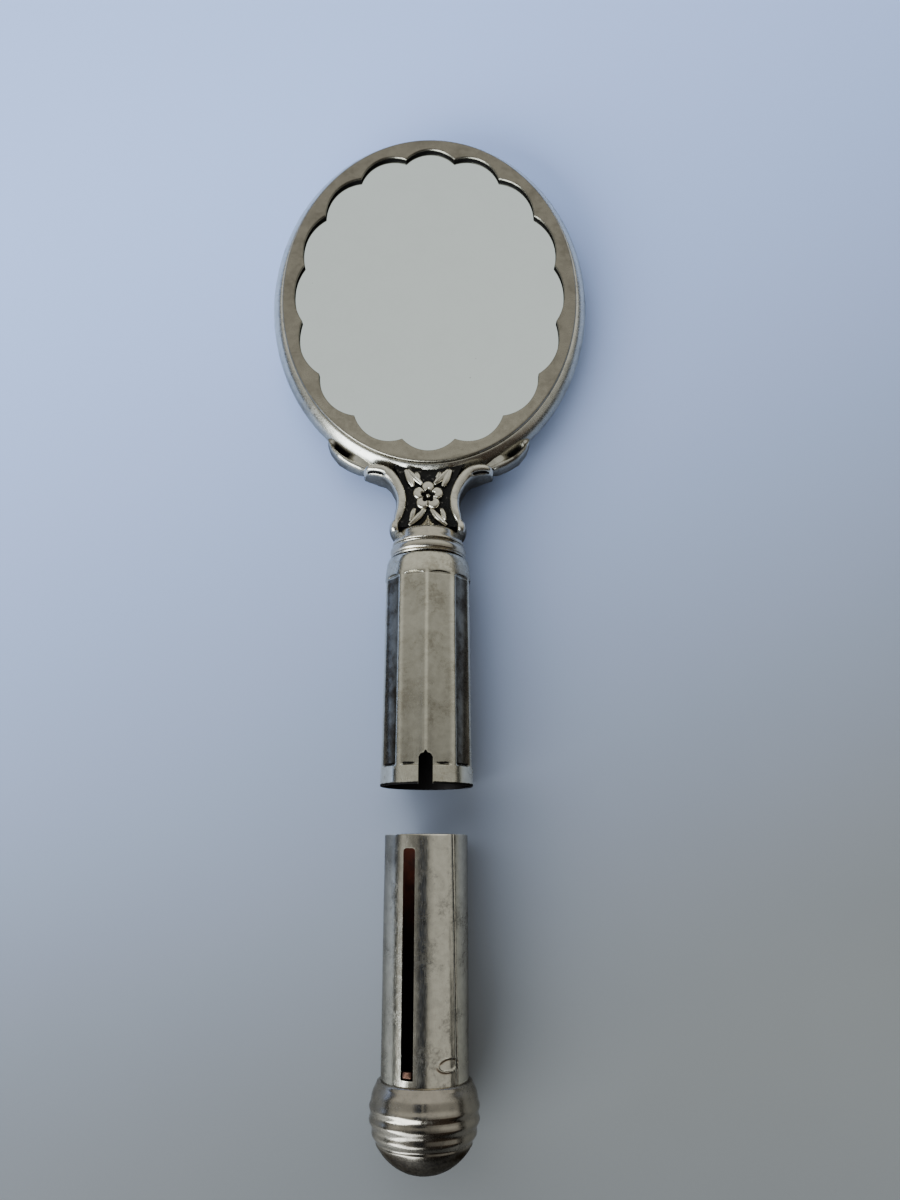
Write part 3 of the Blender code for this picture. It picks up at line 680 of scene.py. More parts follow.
def make_scroll(side, mirror):
    """A rounded band up the shoulder's side that swells into a rolled tip, with a crease cut along it."""
    section = SCROLL_FRONT + SCROLL_BACK
    route = catmull(SCROLL_CREST, 7)
    placed = [(mirror * x * MM, y * MM, wide, high) for x, y, wide, high in route]
    verts, faces = sweep(placed, [(-mirror * across * MM, up * MM) for across, up in section])
    count = len(section)
    soot = []
    dull = []
    for index, vert in enumerate(verts):
        x = route[index // count][0]
        across, up = section[index % count]
        # Painted shade with some tarnish: the band's sides below the crest are darkened.
        dull.append(0.85 * smoothstep(4.35 - up, 0.0, 0.9))
        reach = smoothstep(-x, 7.4, 8.6) * (1 - smoothstep(-x, 11.5, 12.0))
        crease = reach * exp(-((across - CREASE_ACROSS) / CREASE_WIDTH) ** 2) if up > 2 else 0.0
        thinned = 1 - 0.45 * smoothstep(-x, 9.0, 12.0) if up < 0 else 1.0
        height = AXIS_Z + (vert[2] - AXIS_Z) * thinned - CREASE_DEPTH * crease * MM
        verts[index] = (vert[0], vert[1], height)
        soot.append(max(min(1.3 * crease, 1.0), 0.5 * (across < -0.7 and abs(up) < 3.8)))
    piece("scroll_band_" + side, verts, faces, "relief", "mirror", "scroll_" + side, soot,
          60.0, dull)


EAR_START_DEG = 20.0
EAR_END_DEG = 37.5
EAR_STEPS = 48
# By the share of the way up the ear: its reach from the rim, its ridge's height and its hollow's depth.
EAR_REACH = [(0.0, 1.3), (0.15, 1.95), (0.35, 2.25), (0.6, 2.3), (0.8, 1.75), (0.93, 0.95), (1.0, 0.2)]
EAR_RIDGE = [(0.0, 1.5), (0.2, 2.1), (0.6, 2.45), (0.85, 2.3), (1.0, 1.3)]
EAR_HOLLOW = [(0.3, 0.0), (0.62, 1.0), (0.7, 1.0), (0.95, 0.0)]
# The section: share of the reach, then share of the climb to the ridge, or of the ridge's height.
EAR_INNER = [(0.18, 0.0, 0.8), (0.28, 0.12, 0.8), (0.38, 0.6, 0.3), (0.48, 0.92, 0.0)]
EAR_OUTER = [(0.58, 1.0), (0.7, 0.95), (0.82, 0.8), (0.92, 0.54), (0.98, 0.27), (1.0, 0.0)]


def make_ear(side, sign):
    """A leaf that stands off the head's wall, with a dark hollow between its ridge and the wall."""
    verts = []
    soot = []
    dull = []
    count = 0
    for i in range(EAR_STEPS + 1):
        t = i / EAR_STEPS
        angle = radians(EAR_START_DEG + (EAR_END_DEG - EAR_START_DEG) * t - 90)
        reach = between(EAR_REACH, t)
        ridge = between(EAR_RIDGE, t)
        hollow = smoothstep(between(EAR_HOLLOW, t), 0.0, 1.0)
        floor = ridge * (1 - hollow) * 0.9 + 0.25 * hollow
        start = -1.0 + 0.75 * hollow
        front = [(start, floor * 0.5, hollow), (start, floor, hollow)]
        front += [(out * reach, floor + rise * (ridge - floor), dark * hollow)
                  for out, rise, dark in EAR_INNER]
        front += [(out * reach, rise * ridge, 0.0) for out, rise in EAR_OUTER]
        section = front + [(across, -up, dark) for across, up, dark in front[-2::-1]]
        count = len(section)
        for across, up, dark in section:
            x, y = head_point(angle, RIM_BULGE + across * MM)
            verts.append((sign * x, y, AXIS_Z + up * MM))
            soot.append(dark)
            # Painted shade: the whole leaf is darkened, and its outer edge most.
            dull.append(0.3 + 0.5 * smoothstep(across / reach, 0.7, 0.95))
    faces = grid_faces(EAR_STEPS + 1, count, False, True)
    cap_ends(faces, len(verts), count)
    piece("ear_leaf_" + side, verts, faces, "rim", "mirror", "ear_scroll_" + side, soot,
          50.0, dull)


PETALS = 5
PETAL_REACH = 1.72
PETAL_RADIUS = 1.22
GROUND = SHOULDER_FRONT / MM - 0.15


def by_flower(x, y, up):
    """A point given in millimetres from the flower's middle, with its height above the handle's axis."""
    return FLOWER_MIDDLE.x + x * MM, FLOWER_MIDDLE.y + y * MM, AXIS_Z + up * MM


def make_flower(side, sign):
    """Five flat-topped petals round a sunk middle, on the black ground."""
    columns = 160
    rings = 20
    verts = []
    soot = []
    for i in range(rings + 2):
        for angle in turns(columns):
            petal = (angle * PETALS / TAU + 0.5) % 1.0 - 0.5
            lean = petal * TAU / PETALS
            edge = PETAL_REACH * cos(lean)
            edge += sqrt(max(PETAL_RADIUS ** 2 - (PETAL_REACH * sin(lean)) ** 2, 0.02))
            radius = edge * min(i / rings, 1.0)
            spread = hypot(radius * sin(lean), radius * cos(lean) - PETAL_REACH) / PETAL_RADIUS
            dome = 1 - 0.5 * min(spread, 1.0) ** 7
            sunk = 0.75 + 0.45 * cos(lean * PETALS / 2) ** 2
            well = smoothstep(radius, sunk, sunk + 0.3)
            cleft = smoothstep(abs(petal), 0.43, 0.5)
            height = -0.2 if i > rings else 0.12 + 0.88 * (dome - 0.3 * cleft) * well
            verts.append(by_flower(-radius * sin(angle), radius * cos(angle), sign * (GROUND + height)))
            dark = max(1 - smoothstep(radius, sunk, sunk + 0.25), 0.8 * cleft)
            soot.append(1.0 if i > rings else dark)
    faces = grid_faces(rings + 2, columns, False, True)
    piece("petals_" + side, verts, faces, "relief", "mirror", "flower_" + side, soot,
          sharp_deg=70.0)


BOSS_TURN = 0.4
BOSS_HALF_WIDTH = 0.46
BOSS_HEIGHT = 0.85


def make_boss(side, sign):
    """The flower's small squarish middle."""
    columns = 24
    rings = 6
    verts = []
    for i in range(rings + 1):
        turn = pi / 2 * i / rings
        for angle in turns(columns):
            square = BOSS_HALF_WIDTH / (abs(cos(angle)) ** 3 + abs(sin(angle)) ** 3) ** (1 / 3)
            radius = square * sin(turn)
            height = GROUND + 0.1 + BOSS_HEIGHT * cos(turn)
            verts.append(by_flower(radius * cos(angle + BOSS_TURN), radius * sin(angle + BOSS_TURN),
                                   sign * height))
    faces = grid_faces(rings + 1, columns, False, True)
    piece("flower_eye_" + side, verts, faces, "relief", "mirror", "flower_boss_" + side)


# Leaflets of each right-hand spray, from root to tip: (x, y) from the flower's middle, and half width.
UPPER_SPRAY = [[(1.15, 2.4, 0.28), (2.3, 3.5, 0.5), (3.95, 5.2, 0.36)],
               [(2.8, 1.9, 0.25), (3.4, 3.3, 0.58), (4.2, 5.3, 0.36)],
               [(1.7, 3.0, 0.25), (1.95, 3.85, 0.46), (2.25, 4.75, 0.26)]]
LOWER_SPRAY = [[(0.55, -2.6, 0.28), (1.75, -4.1, 0.5), (3.5, -5.8, 0.25)],
               [(2.5, -2.5, 0.25), (2.85, -3.6, 0.42), (3.2, -4.9, 0.2)]]
LEAF_ACROSS = [(-1.0, -0.2, 1.0), (-0.99, 0.5, 0.5), (-0.92, 0.72, 0.0), (-0.6, 0.82, 0.0), (-0.2, 0.84, 0.0),
               (0.0, 0.92, 0.0), (0.2, 0.84, 0.0), (0.6, 0.82, 0.0), (0.92, 0.72, 0.0), (0.99, 0.5, 0.5),
               (1.0, -0.2, 1.0)]


def leaflet(spine, mirror, sign):
    """A flat-topped narrow leaf with a raised midrib."""
    line = catmull(spine, 8)
    verts = []
    soot = []
    for i, (x, y, half) in enumerate(line):
        back = line[max(i - 1, 0)]
        ahead = line[min(i + 1, len(line) - 1)]
        along = Vector((ahead[0] - back[0], ahead[1] - back[1])).normalized()
        t = i / (len(line) - 1)
        swell = 0.55 + 0.45 * sin(pi * (0.1 + 0.8 * t))
        for across, height, dark in LEAF_ACROSS:
            verts.append(by_flower(mirror * (x - along.y * half * across), y + along.x * half * across,
                                   sign * (GROUND + height * swell)))
            soot.append(dark)
    return verts, grid_faces(len(line), len(LEAF_ACROSS), False, False), soot


def make_spray(level, leaflets, hand, mirror, side, sign):
    verts = []
    faces = []
    soot = []
    for spine in leaflets:
        more, cells, dark = leaflet(spine, mirror, sign)
        faces += [tuple(len(verts) + v for v in cell) for cell in cells]
        verts += more
        soot += dark
    obj = piece(f"{level}_spray_{hand}_{side}", verts, faces, "relief", "mirror",
                f"{level}_leaf_{hand}_{side}", soot, sharp_deg=70.0)
    solid = obj.modifiers.new("backed", "SOLIDIFY")
    solid.thickness = 0.15 * MM
    solid.offset = 0.0


# --- neck


def turned_piece(name, section, look, body, node, columns=160, soot=None, sharp_deg=35.0, shape=None,
                 dull=None):
    """A ring or solid turned from a closed section of (radius, y) in millimetres."""
    profile = [(radius * MM, y * MM) for radius, y in section]
    verts, faces = lathe(profile, columns, shape)
    marks = [soot(radius, y) for radius, y in section for _ in range(columns)] if soot else None
    shades = [dull(TAU * j / columns, y) for radius, y in section for j in range(columns)] if dull else None
    return piece(name, verts, faces, look, body, node, marks, sharp_deg, shades)


TUBE_COLUMNS = 360


def flagged(rings, worn):
    return [(radius, y, worn) for radius, y in rings]


def worn_and_shaded_tube(rings, plain_soot, shape, soot, dull):
    """Points, faces and shades of a turned tube: soot, and dullness with painted shade. rings holds (radius,
    y, worn), in millimetres, and only the worn rings are shaped and shaded."""
    verts = []
    soots = []
    dulls = []
    for radius, y, worn in rings:
        for angle in turns(TUBE_COLUMNS):
            r = shape(angle, radius * MM, y * MM) if worn else radius * MM
            verts.append(on_axis(r, angle, y * MM))
            soots.append(soot(angle, y) if worn else plain_soot)
            dulls.append(dull(angle, y) if worn else 0.0)
    return verts, grid_faces(len(rings), TUBE_COLUMNS, True, True), soots, dulls


NECK_BORE = 2.7
COLLAR = [(NECK_BORE, -49.75), (5.2, -49.75), (5.72, -49.82), (6.02, -50.05), (6.14, -50.4), (6.25, -50.9),
          (6.42, -51.4), (6.62, -51.85), (6.7, -52.1), (6.66, -52.28), (6.4, -52.4),
          (NECK_BORE, -52.4)]
COLLAR_COLUMNS = 160
TONGUE_TOP = -47.2
TONGUE_FOOT = -50.6
TONGUE_CREST = 6.1
TONGUE_ROWS = 16
TONGUE_COLUMNS = 14
BEAD_RADIUS = 6.62
BEAD_Y = -53.6


def make_neck():
    verts, faces = lathe([(radius * MM, y * MM) for radius, y in COLLAR], COLLAR_COLUMNS)
    soot = [0.35 if y < -52.2 else 0.0 for radius, y in COLLAR for _ in range(COLLAR_COLUMNS)]
    for sign in (1, -1):
        first = len(verts)
        for i in range(TONGUE_ROWS + 1):
            t = i / TONGUE_ROWS
            half = 0.3 + 2.9 * t ** 1.5
            crest = GROUND + 0.25 + (TONGUE_CREST - GROUND - 0.25) * t ** 1.2
            for j in range(TONGUE_COLUMNS + 1):
                turn = pi * j / TONGUE_COLUMNS
                up = (crest - GROUND + 0.3) * sin(turn) ** 0.8 + GROUND - 0.3
                verts.append(at(half * cos(turn), TONGUE_TOP + (TONGUE_FOOT - TONGUE_TOP) * t, sign * up))
                soot.append(0.9 if j in (0, TONGUE_COLUMNS) and t < 0.75 else 0.0)
        faces += grid_faces(TONGUE_ROWS + 1, TONGUE_COLUMNS + 1, False, False, first)
    piece("collar", verts, faces, "neck", "mirror", "neck_collar", soot, sharp_deg=60.0)
    bead = [radians(80 - 10 * i) for i in range(17)]
    swell = [(BEAD_RADIUS + 0.43 * cos(turn), BEAD_Y + 0.8 * sin(turn)) for turn in bead]
    ring = [(NECK_BORE, -52.5), (6.3, -52.5), (6.6, -52.53), (6.68, -52.64), (6.62, -52.76)] + swell
    ring += [(6.74, -54.45), (6.9, -54.56), (6.98, -54.72), (6.9, -54.88), (6.5, -54.93),
             (NECK_BORE, -54.93)]
    turned_piece("bead_ring", ring, "neck", "mirror", "neck_ring",
                 soot=lambda r, y: 0.45 if r < 6.7 and y < -54.3 else 0.0)
    stud = round_corners([(0.0, -49.5), (2.4, -49.5), (2.4, -56.15), (0.0, -56.15)], 0.2)
    turned_piece("neck_pin", stud, "neck", "mirror", "neck_stud", columns=48)
    disc = round_corners([(0.0, -56.45), (6.95, -56.45), (6.95, -57.25), (0.0, -57.25)], 0.15)
    turned_piece("end_plate", disc, "neck", "mirror", "sleeve_end_disc", columns=96)


# --- sleeve

FLUTES = 10
FLUTE_TOP = -59.35
FLUTE_ARCH = 0.35
FLUTE_END = -93.4
SLEEVE_BORE = 7.3
SLEEVE_TOP_RADIUS = 7.85
SLEEVE_MOUTH_RADIUS = 8.15
FLUTE_FLOOR = 7.42
LAND = radians(3.6)
RIDGE_SOFTNESS = 0.03
NOTCH_HALF_WIDTH = 1.22
NOTCH_DEPTH = 5.2
SLEEVE_SHARP_DEG = 30.0
CROWN_FOOT = -58.4


def sleeve_outside(y_mm):
    share = (SLEEVE_TOP / MM - y_mm) / ((SLEEVE_TOP - SLEEVE_MOUTH) / MM)
    return SLEEVE_TOP_RADIUS + (SLEEVE_MOUTH_RADIUS - SLEEVE_TOP_RADIUS) * share


def ridge_distance(angle):
    """Angle from the nearest ridge between two flutes, one of which is in front."""
    half = pi / FLUTES
    return abs((angle + half) % (2 * half) - half)


def fluted(angle, radius, y):
    """Hollow panels between narrow lands."""
    y_mm = y / MM
    lean = pi / FLUTES - ridge_distance(angle)
    wide = pi / FLUTES - LAND
    crest = sleeve_outside(y_mm)
    sag = crest * cos(wide) - FLUTE_FLOOR
    chord = crest * cos(wide) / cos(lean) - sag * (1 - (lean / wide) ** 2)
    arch = FLUTE_TOP + FLUTE_ARCH * (1 - (lean / wide) ** 2)
    inside = smoothstep(arch - y_mm, 0.0, 0.16) * smoothstep(y_mm - FLUTE_END, 0.0, 0.3)
    sharp = (chord - crest) / RIDGE_SOFTNESS
    lowered = -RIDGE_SOFTNESS * log1p(exp(-sharp)) if sharp > -40 else chord - crest
    worn = dented((angle * 8 * MM, y, 0.0), 0.02 * MM, 7.0)
    return radius + lowered * inside * MM + worn


def spaced(start, end, step):
    count = max(int(round(abs(end - start) / step)), 1)
    return [start + (end - start) * i / count for i in range(count)]


def make_sleeve():
    """The lipstick's cap: a thin fluted tube with a rounded crown and a notched mouth."""
    crown = [(6.6, -55.4), (6.78, -55.27), (7.08, -55.25), (7.34, -55.38), (7.52, -55.75), (7.66, -56.4),
             (7.76, -57.2), (sleeve_outside(CROWN_FOOT), CROWN_FOOT)]
    outside = catmull(crown, 3)[:-1]
    rows = spaced(CROWN_FOOT, FLUTE_TOP + 0.4, 0.3) + spaced(FLUTE_TOP + 0.4, FLUTE_TOP - 0.6, 0.04)
    rows += spaced(FLUTE_TOP - 0.6, FLUTE_END + 1.0, 0.7) + spaced(FLUTE_END + 1.0, FLUTE_END - 0.1, 0.06)
    rows += spaced(FLUTE_END - 0.1, SLEEVE_MOUTH / MM + 0.25, 0.3)
    outside += [(sleeve_outside(y), y) for y in rows]
    mouth = SLEEVE_MOUTH / MM
    lip = [(8.15, mouth + 0.25), (8.14, mouth + 0.1), (8.05, mouth + 0.02), (7.95, mouth), (7.62, mouth),
           (7.52, mouth + 0.05), (7.48, mouth + 0.2)]
    inside = [(7.45, mouth + 1.0), (SLEEVE_BORE, mouth + 3.0), (SLEEVE_BORE, -75.0), (SLEEVE_BORE, -56.25),
              (6.6, -55.7)]
    rings = flagged(outside, True) + flagged(lip + inside, False)
    verts, faces, soot, dull = worn_and_shaded_tube(rings, 0.75, fluted, sleeve_soot, flute_dullness)
    sleeve = piece("sleeve", verts, faces, "sleeve", "mirror", "fluted_sleeve", soot,
                   SLEEVE_SHARP_DEG, dull)
    right = [(NOTCH_HALF_WIDTH, -2), (NOTCH_HALF_WIDTH, NOTCH_DEPTH - 0.7),
             (NOTCH_HALF_WIDTH - 0.35, NOTCH_DEPTH - 0.15), (0.35, NOTCH_DEPTH), (0.1, NOTCH_DEPTH + 0.4)]
    outline = [(x * MM, y * MM) for x, y in right + [(-x, y) for x, y in right[::-1]]]
    cut_away(sleeve, prism("notch", outline, 4 * MM, 11 * MM, SLEEVE_MOUTH))
    shade_smooth(sleeve, SLEEVE_SHARP_DEG)


def from_front(angle):
    return min(angle, TAU - angle)


def sleeve_soot(angle, y_mm):
    """Dirt that gathers at the flutes' ends, except by the ridge in front, where the thumb rubs it off."""
    panel = smoothstep(ridge_distance(angle), LAND, LAND * 2)
    rubbed = smoothstep(from_front(angle), radians(8), radians(20))
    foot = 0.7 * exp(-((y_mm - FLUTE_END - 0.45) / 0.3) ** 2)
    return foot * panel * rubbed


def flute_dullness(angle, y_mm):
    """Painted shade: flutes are darker than the lands between them, and more so on the flanks than in front;
    the crown and a band at the flutes' top ends are darkened too.
    """
    bright = LAND if from_front(angle) > pi / FLUTES else LAND * 0.5
    panel = smoothstep(ridge_distance(angle), bright * 0.2, bright * 1.8)
    inside = smoothstep(FLUTE_TOP - y_mm, 0.1, 0.4) * smoothstep(y_mm - FLUTE_END, 0.1, 0.5)
    flank = smoothstep(from_front(angle), radians(34), radians(40))
    crown = 0.25 * smoothstep(y_mm - FLUTE_TOP, -0.3, 0.1)
    lip = 0.7 * panel * smoothstep(0.45 - abs(y_mm - FLUTE_TOP - 0.1), 0.0, 0.25)
    return max(crown, lip, panel * inside * (0.52 + 0.48 * flank))


# --- barrel

SLOT_LEAN = radians(22.0)
SLOT_HALF_WIDTH = 1.075
SLOT_TOP = -106.9
SLOT_END = -141.9
SLOT_TOP_CORNER = 0.55
SLOT_FOOT_CORNER = 0.22
MARK_ANGLE = radians(34.0)
MARK_Y = -139.7
MARK_HALF = (1.9, 0.95)
MARK_LEAN = radians(4.0)
SEAM_TOP = radians(39.0)
SEAM_FOOT = radians(49.0)
BARREL_SHARP_DEG = 30.0
BARREL_WALL = 0.4
SLOT_CORNER_STEPS = 4


def signed(angle):
    """The same angle, counted both ways from the front."""
    return angle if angle < pi else angle - TAU


def mark_reach(angle, y_mm):
    """How far a place on the barrel is from the middle of the plain oval mark, in half widths."""
    across = (angle - MARK_ANGLE) * BARREL_RADIUS / MM
    along = y_mm - MARK_Y
    first = across * cos(MARK_LEAN) + along * sin(MARK_LEAN)
    second = along * cos(MARK_LEAN) - across * sin(MARK_LEAN)
    return hypot(first / MARK_HALF[0], second / MARK_HALF[1])


def seam_gap(angle, y_mm):
    share = (BARREL_RIM / MM - y_mm) / ((BARREL_RIM - BARREL_END) / MM)
    return (angle - SEAM_TOP - (SEAM_FOOT - SEAM_TOP) * share) * BARREL_RADIUS / MM


def barrel_skin(angle, radius, y):
    """Slightly wavy drawn tube, with its closing seam and one shallow oval mark."""
    angle = signed(angle)
    y_mm = y / MM
    reach = mark_reach(angle, y_mm)
    mark = 0.07 * exp(-((reach - 1.05) / 0.13) ** 2) - 0.04 * (1 - smoothstep(reach, 0.75, 0.95))
    gap = seam_gap(angle, y_mm)
    seam = -0.07 * exp(-(gap / 0.13) ** 2)
    flat = 0.03 * exp(-((gap + 0.75) / 0.5) ** 2)
    worn = dented((angle * 7 * MM, y * 0.35, 0.4), 0.045 * MM, 5.0)
    return radius + (mark + seam - flat) * MM + worn


def barrel_soot(angle, y_mm):
    angle = signed(angle)
    reach = mark_reach(angle, y_mm)
    ring = (0.15 + 0.4 * (y_mm < MARK_Y)) * exp(-((reach - 0.95) / 0.12) ** 2)
    seam = 0.8 * exp(-(seam_gap(angle, y_mm) / 0.15) ** 2)
    rim = 0.35 * exp(-((y_mm - BARREL_RIM / MM) / 0.4) ** 2)
    return max(ring, seam, rim)


# Painted reflection round the barrel's front: how dark it is painted, by angle in degrees from the top.
BARREL_PAINTED_REFLECTION = [(-90, 0.6), (-66, 0.66), (-52, 0.3), (-36, 0.2), (-17, 0.8), (-8, 0.78), (3, 0.4), (11, 0.04),
               (30, 0.0), (41, 0.1), (50, 0.3), (62, 0.5), (90, 0.6)]


def barrel_dullness(angle, y_mm):
    """Long dark streaks by angle, a painted reflection of the room, and a dull patch by the rim where the
    sleeve has rubbed.
    """
    angle = signed(angle)
    wander = 5 * noise.noise(Vector((0.0, y_mm / 9, 0.7)))
    reflection_streak = between(BARREL_PAINTED_REFLECTION, degrees(angle) + wander)
    cloud = 4 * noise.noise(Vector((angle * 3, y_mm / 3, 4.1)))
    patch = smoothstep(-degrees(angle), 20, 45) * smoothstep(y_mm - BARREL_RIM / MM + cloud, -13, -4)
    return max(reflection_streak, 0.8 * patch)


def make_barrel():
    rim = BARREL_RIM / MM
    end = BARREL_END / MM
    outer = BARREL_RADIUS / MM
    bore = outer - BARREL_WALL
    edge = [(outer - 0.32, rim), (outer - 0.14, rim), (outer - 0.04, rim - 0.06)]
    rows = spaced(rim - 0.35, -137.5, 0.45) + spaced(-137.5, -142.3, 0.14) + spaced(-142.3, end, 1.0) + [end]
    outside = [(outer, rim - 0.2)] + [(outer, y) for y in rows]
    inside = [(bore, end), (bore, -125.0), (bore, rim - 0.3)]
    rings = flagged(edge, False) + flagged(outside, True) + flagged(inside, False)
    verts, faces, soot, dull = worn_and_shaded_tube(rings, 0.3, barrel_skin, barrel_soot, barrel_dullness)
    tube = piece("barrel", verts, faces, "barrel", "barrel", "barrel_tube", soot,
                 BARREL_SHARP_DEG, dull)
    half = SLOT_HALF_WIDTH * MM
    outline = []
    for side, up, start in ((1, 1, 0), (-1, 1, 90), (-1, -1, 180), (1, -1, 270)):
        size = (SLOT_TOP_CORNER if up > 0 else SLOT_FOOT_CORNER) * MM
        x = side * (half - size)
        y = (SLOT_TOP if up > 0 else SLOT_END) * MM - up * size
        for step in range(SLOT_CORNER_STEPS + 1):
            angle = radians(start + 90 * step / SLOT_CORNER_STEPS)
            outline.append((x + size * cos(angle), y + size * sin(angle)))
    cut_away(tube, prism("slot", outline, 4 * MM, 10 * MM, 0.0, SLOT_LEAN))
    tube.data.materials.append(LOOKS["bore"])
    for face in tube.data.polygons:
        middle = face.center
        radius = hypot(middle.x, middle.z - AXIS_Z)
        facing = face.normal.x * middle.x + face.normal.z * (middle.z - AXIS_Z)
        if facing < 0 and radius < BARREL_RADIUS - 0.25 * MM and abs(face.normal.y) < 0.5:
            face.material_index = 1
    shade_smooth(tube, BARREL_SHARP_DEG)
    floor = round_corners([(0.0, -151.1), (6.6, -151.1), (6.6, -151.9), (0.0, -151.9)], 0.15)
    turned_piece("floor_plate", floor, "barrel", "barrel", "barrel_floor", columns=96)


BEAD_PITCH = 2.1
BEADED_TO = 4.3
LEVEL_ROWS_TO = 4.6
CROWN_BORE = 7.2
BALL_HOLLOW = 8.3
BOWL_STEPS = 24
HOLLOW_STEPS = 12


def ball_surface(height):
    """Radius of the beaded ball at a height above its middle, in millimetres."""
    radius = sqrt(max((BALL_RADIUS / MM) ** 2 - height ** 2, 0.0))
    depth = 0.28 - 0.2 * smoothstep(height, 0.4, 2.4)
    window = smoothstep(BEADED_TO + height, -0.3, 0.3) * (1 - smoothstep(height, 4.0, LEVEL_ROWS_TO))
    groove = abs(cos(pi * height / BEAD_PITCH)) ** 2
    return radius - depth * groove * window


def ball_skin(angle, radius, y):
    return max(radius - 0.05 * MM + dented((angle * 6 * MM, y, 0.9), 0.03 * MM, 4.0), 0.0)


# Black oxide in the grooves between the beads, and painted shade over the ball's lower end.
def ball_soot(radius, y):
    height = y - BALL_Y / MM
    groove = abs(cos(pi * height / BEAD_PITCH)) ** 18
    strength = 0.35 if height < 0.5 else 0.1
    beads = groove * strength * (1 - smoothstep(abs(height), 4.2, LEVEL_ROWS_TO))
    return max(beads, 0.48 * smoothstep(-height, BEADED_TO, 5.6))


def ball_dullness(angle, y):
    """Painted shade on the ball's end and on its beads in front, over an even dullness all round."""
    below = BALL_Y / MM - y
    beads = exp(-(from_front(angle) / radians(38)) ** 2) * smoothstep(below, -1.2, 0.8)
    return max(0.48, 0.98 * beads, 0.98 * smoothstep(below, 3.6, 4.8))


def make_ball():
    middle = BALL_Y / MM
    outer = BALL_RADIUS / MM
    upper = [(ball_surface(h), middle + h) for h in spaced(LEVEL_ROWS_TO, 0.0, 0.1) + [0.0]]
    neck = [(CROWN_BORE, middle + 4.75), (7.5, middle + 4.74)]
    hollow = [(BALL_HOLLOW, middle), (8.0, middle + 1.8), (7.45, middle + 3.4), (CROWN_BORE, middle + 4.6)]
    turned_piece("ball_crown", neck + upper + hollow, "ball", "barrel", "ball_upper_shell",
                 columns=256, soot=ball_soot, shape=ball_skin, dull=ball_dullness)
    lower = [(ball_surface(-h), middle - h) for h in spaced(0.0, LEVEL_ROWS_TO, 0.1)]
    start = asin(LEVEL_ROWS_TO / outer)
    for i in range(BOWL_STEPS + 1):
        turn = start + (pi / 2 - start) * i / BOWL_STEPS
        flat = 0.14 * exp(-((pi / 2 - turn) / 0.22) ** 2)
        lower.append((outer * cos(turn), middle - (outer - flat) * sin(turn)))
    bowl = [pi / 2 * i / HOLLOW_STEPS for i in range(HOLLOW_STEPS, -1, -1)]
    hollow = [(BALL_HOLLOW * cos(turn), middle - BALL_HOLLOW * sin(turn)) for turn in bowl]
    turned_piece("ball_bowl", lower + hollow, "ball", "barrel", "ball_lower_shell",
                 columns=256, soot=ball_soot, shape=ball_skin, sharp_deg=50.0, dull=ball_dullness)


def make_carrier():
    """The cup that grips the lipstick, and the lug that slides it."""
    cup = [(0.0, -149.7), (6.1, -149.7), (6.1, -142.4), (6.18, -142.3), (6.36, -142.3), (6.45, -142.4),
           (6.45, -150.5), (0.0, -150.5)]
    turned_piece("cup", round_corners(cup, 0.12), "brass", "carrier", "carrier_cup",
                 columns=96)
    low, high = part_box("slider_lug")
    middle_y = (low.y + high.y) / 2
    verts = []
    outline = round_corners([(-0.75, -0.5), (0.75, -0.5), (0.75, 0.5), (-0.75, 0.5)], 0.22, closed=True)
    layers = [(6.6, 1.0), (6.95, 1.0), (7.05, 0.96), (7.1, 0.86), (7.1, 0.0)]
    for radius, scale in layers:
        for x, y in outline:
            side = x * scale * MM
            out = radius * MM
            verts.append((side * cos(SLOT_LEAN) - out * sin(SLOT_LEAN), middle_y + y * scale * MM,
                          AXIS_Z + out * cos(SLOT_LEAN) + side * sin(SLOT_LEAN)))
    faces = grid_faces(len(layers), len(outline), False, True)
    faces.append(tuple(range(len(outline))))
    piece("lug", verts, faces, "brass", "carrier", "slider_lug")


# --- studio and floor


FLOOR_HALF = 0.9
# Where the head's back touches the floor.
CONTACT_Y = -17.5 * MM
FLOOR_PLAIN = ((0.188, 0.187, 0.176), (0.198, 0.197, 0.186))
FLOOR_PAINTED_LIGHT = (0.485, 0.62, 1.0)
FLOOR_PAINTED_SHADOW = (0.105, 0.108, 0.11)


def make_floor():
    """A pale table top, with a painted pool of bluish light towards the far left and a painted shadow towards
    the near side. It slopes a little, so that the head's back and the ball both rest on it.
    """
    ball_middle = Vector((BALL_Y, AXIS_Z))
    reach = hypot(ball_middle.x - CONTACT_Y, ball_middle.y)
    slope = atan2(ball_middle.y, CONTACT_Y - ball_middle.x) - asin(BALL_RADIUS / reach)
    mesh = bpy.data.meshes.new("floor")
    corners = [(x * FLOOR_HALF, y * FLOOR_HALF, 0) for x, y in ((-1, -1), (1, -1), (1, 1), (-1, 1))]
    mesh.from_pydata(corners, [], [(0, 1, 2, 3)])
    floor = add_object("floor", mesh)
    floor.location = (0.0, CONTACT_Y, 0.0)
    floor.rotation_euler = (-slope, 0.0, 0.0)
    g = new_material("table_top")
    grain = g.noise(0.6, detail=4.0, roughness=0.7)
    place = g.place()
    # Painted light: bluish, strongest towards the far left. Painted shadow: dark towards the near side.
    far = g.plus(place["Y"], g.times(place["X"], -0.40))
    near = g.plus(place["Y"], g.times(place["X"], 0.25))
    color = g.mix(g.ramp(g.noise(60.0, detail=3.0), 0.3, 0.7), *FLOOR_PLAIN)
    color = g.mix(g.ramp(far, -0.15, 0.10), color, FLOOR_PAINTED_LIGHT)
    color = g.mix(g.ramp(near, -0.22, -0.09, 1.0, 0.0), color, FLOOR_PAINTED_SHADOW)
    mesh.materials.append(g.finish(color, g.ramp(grain, 0.3, 0.7, 0.5, 0.6), 0.0, g.bump(grain, 0.01, 0.4)))


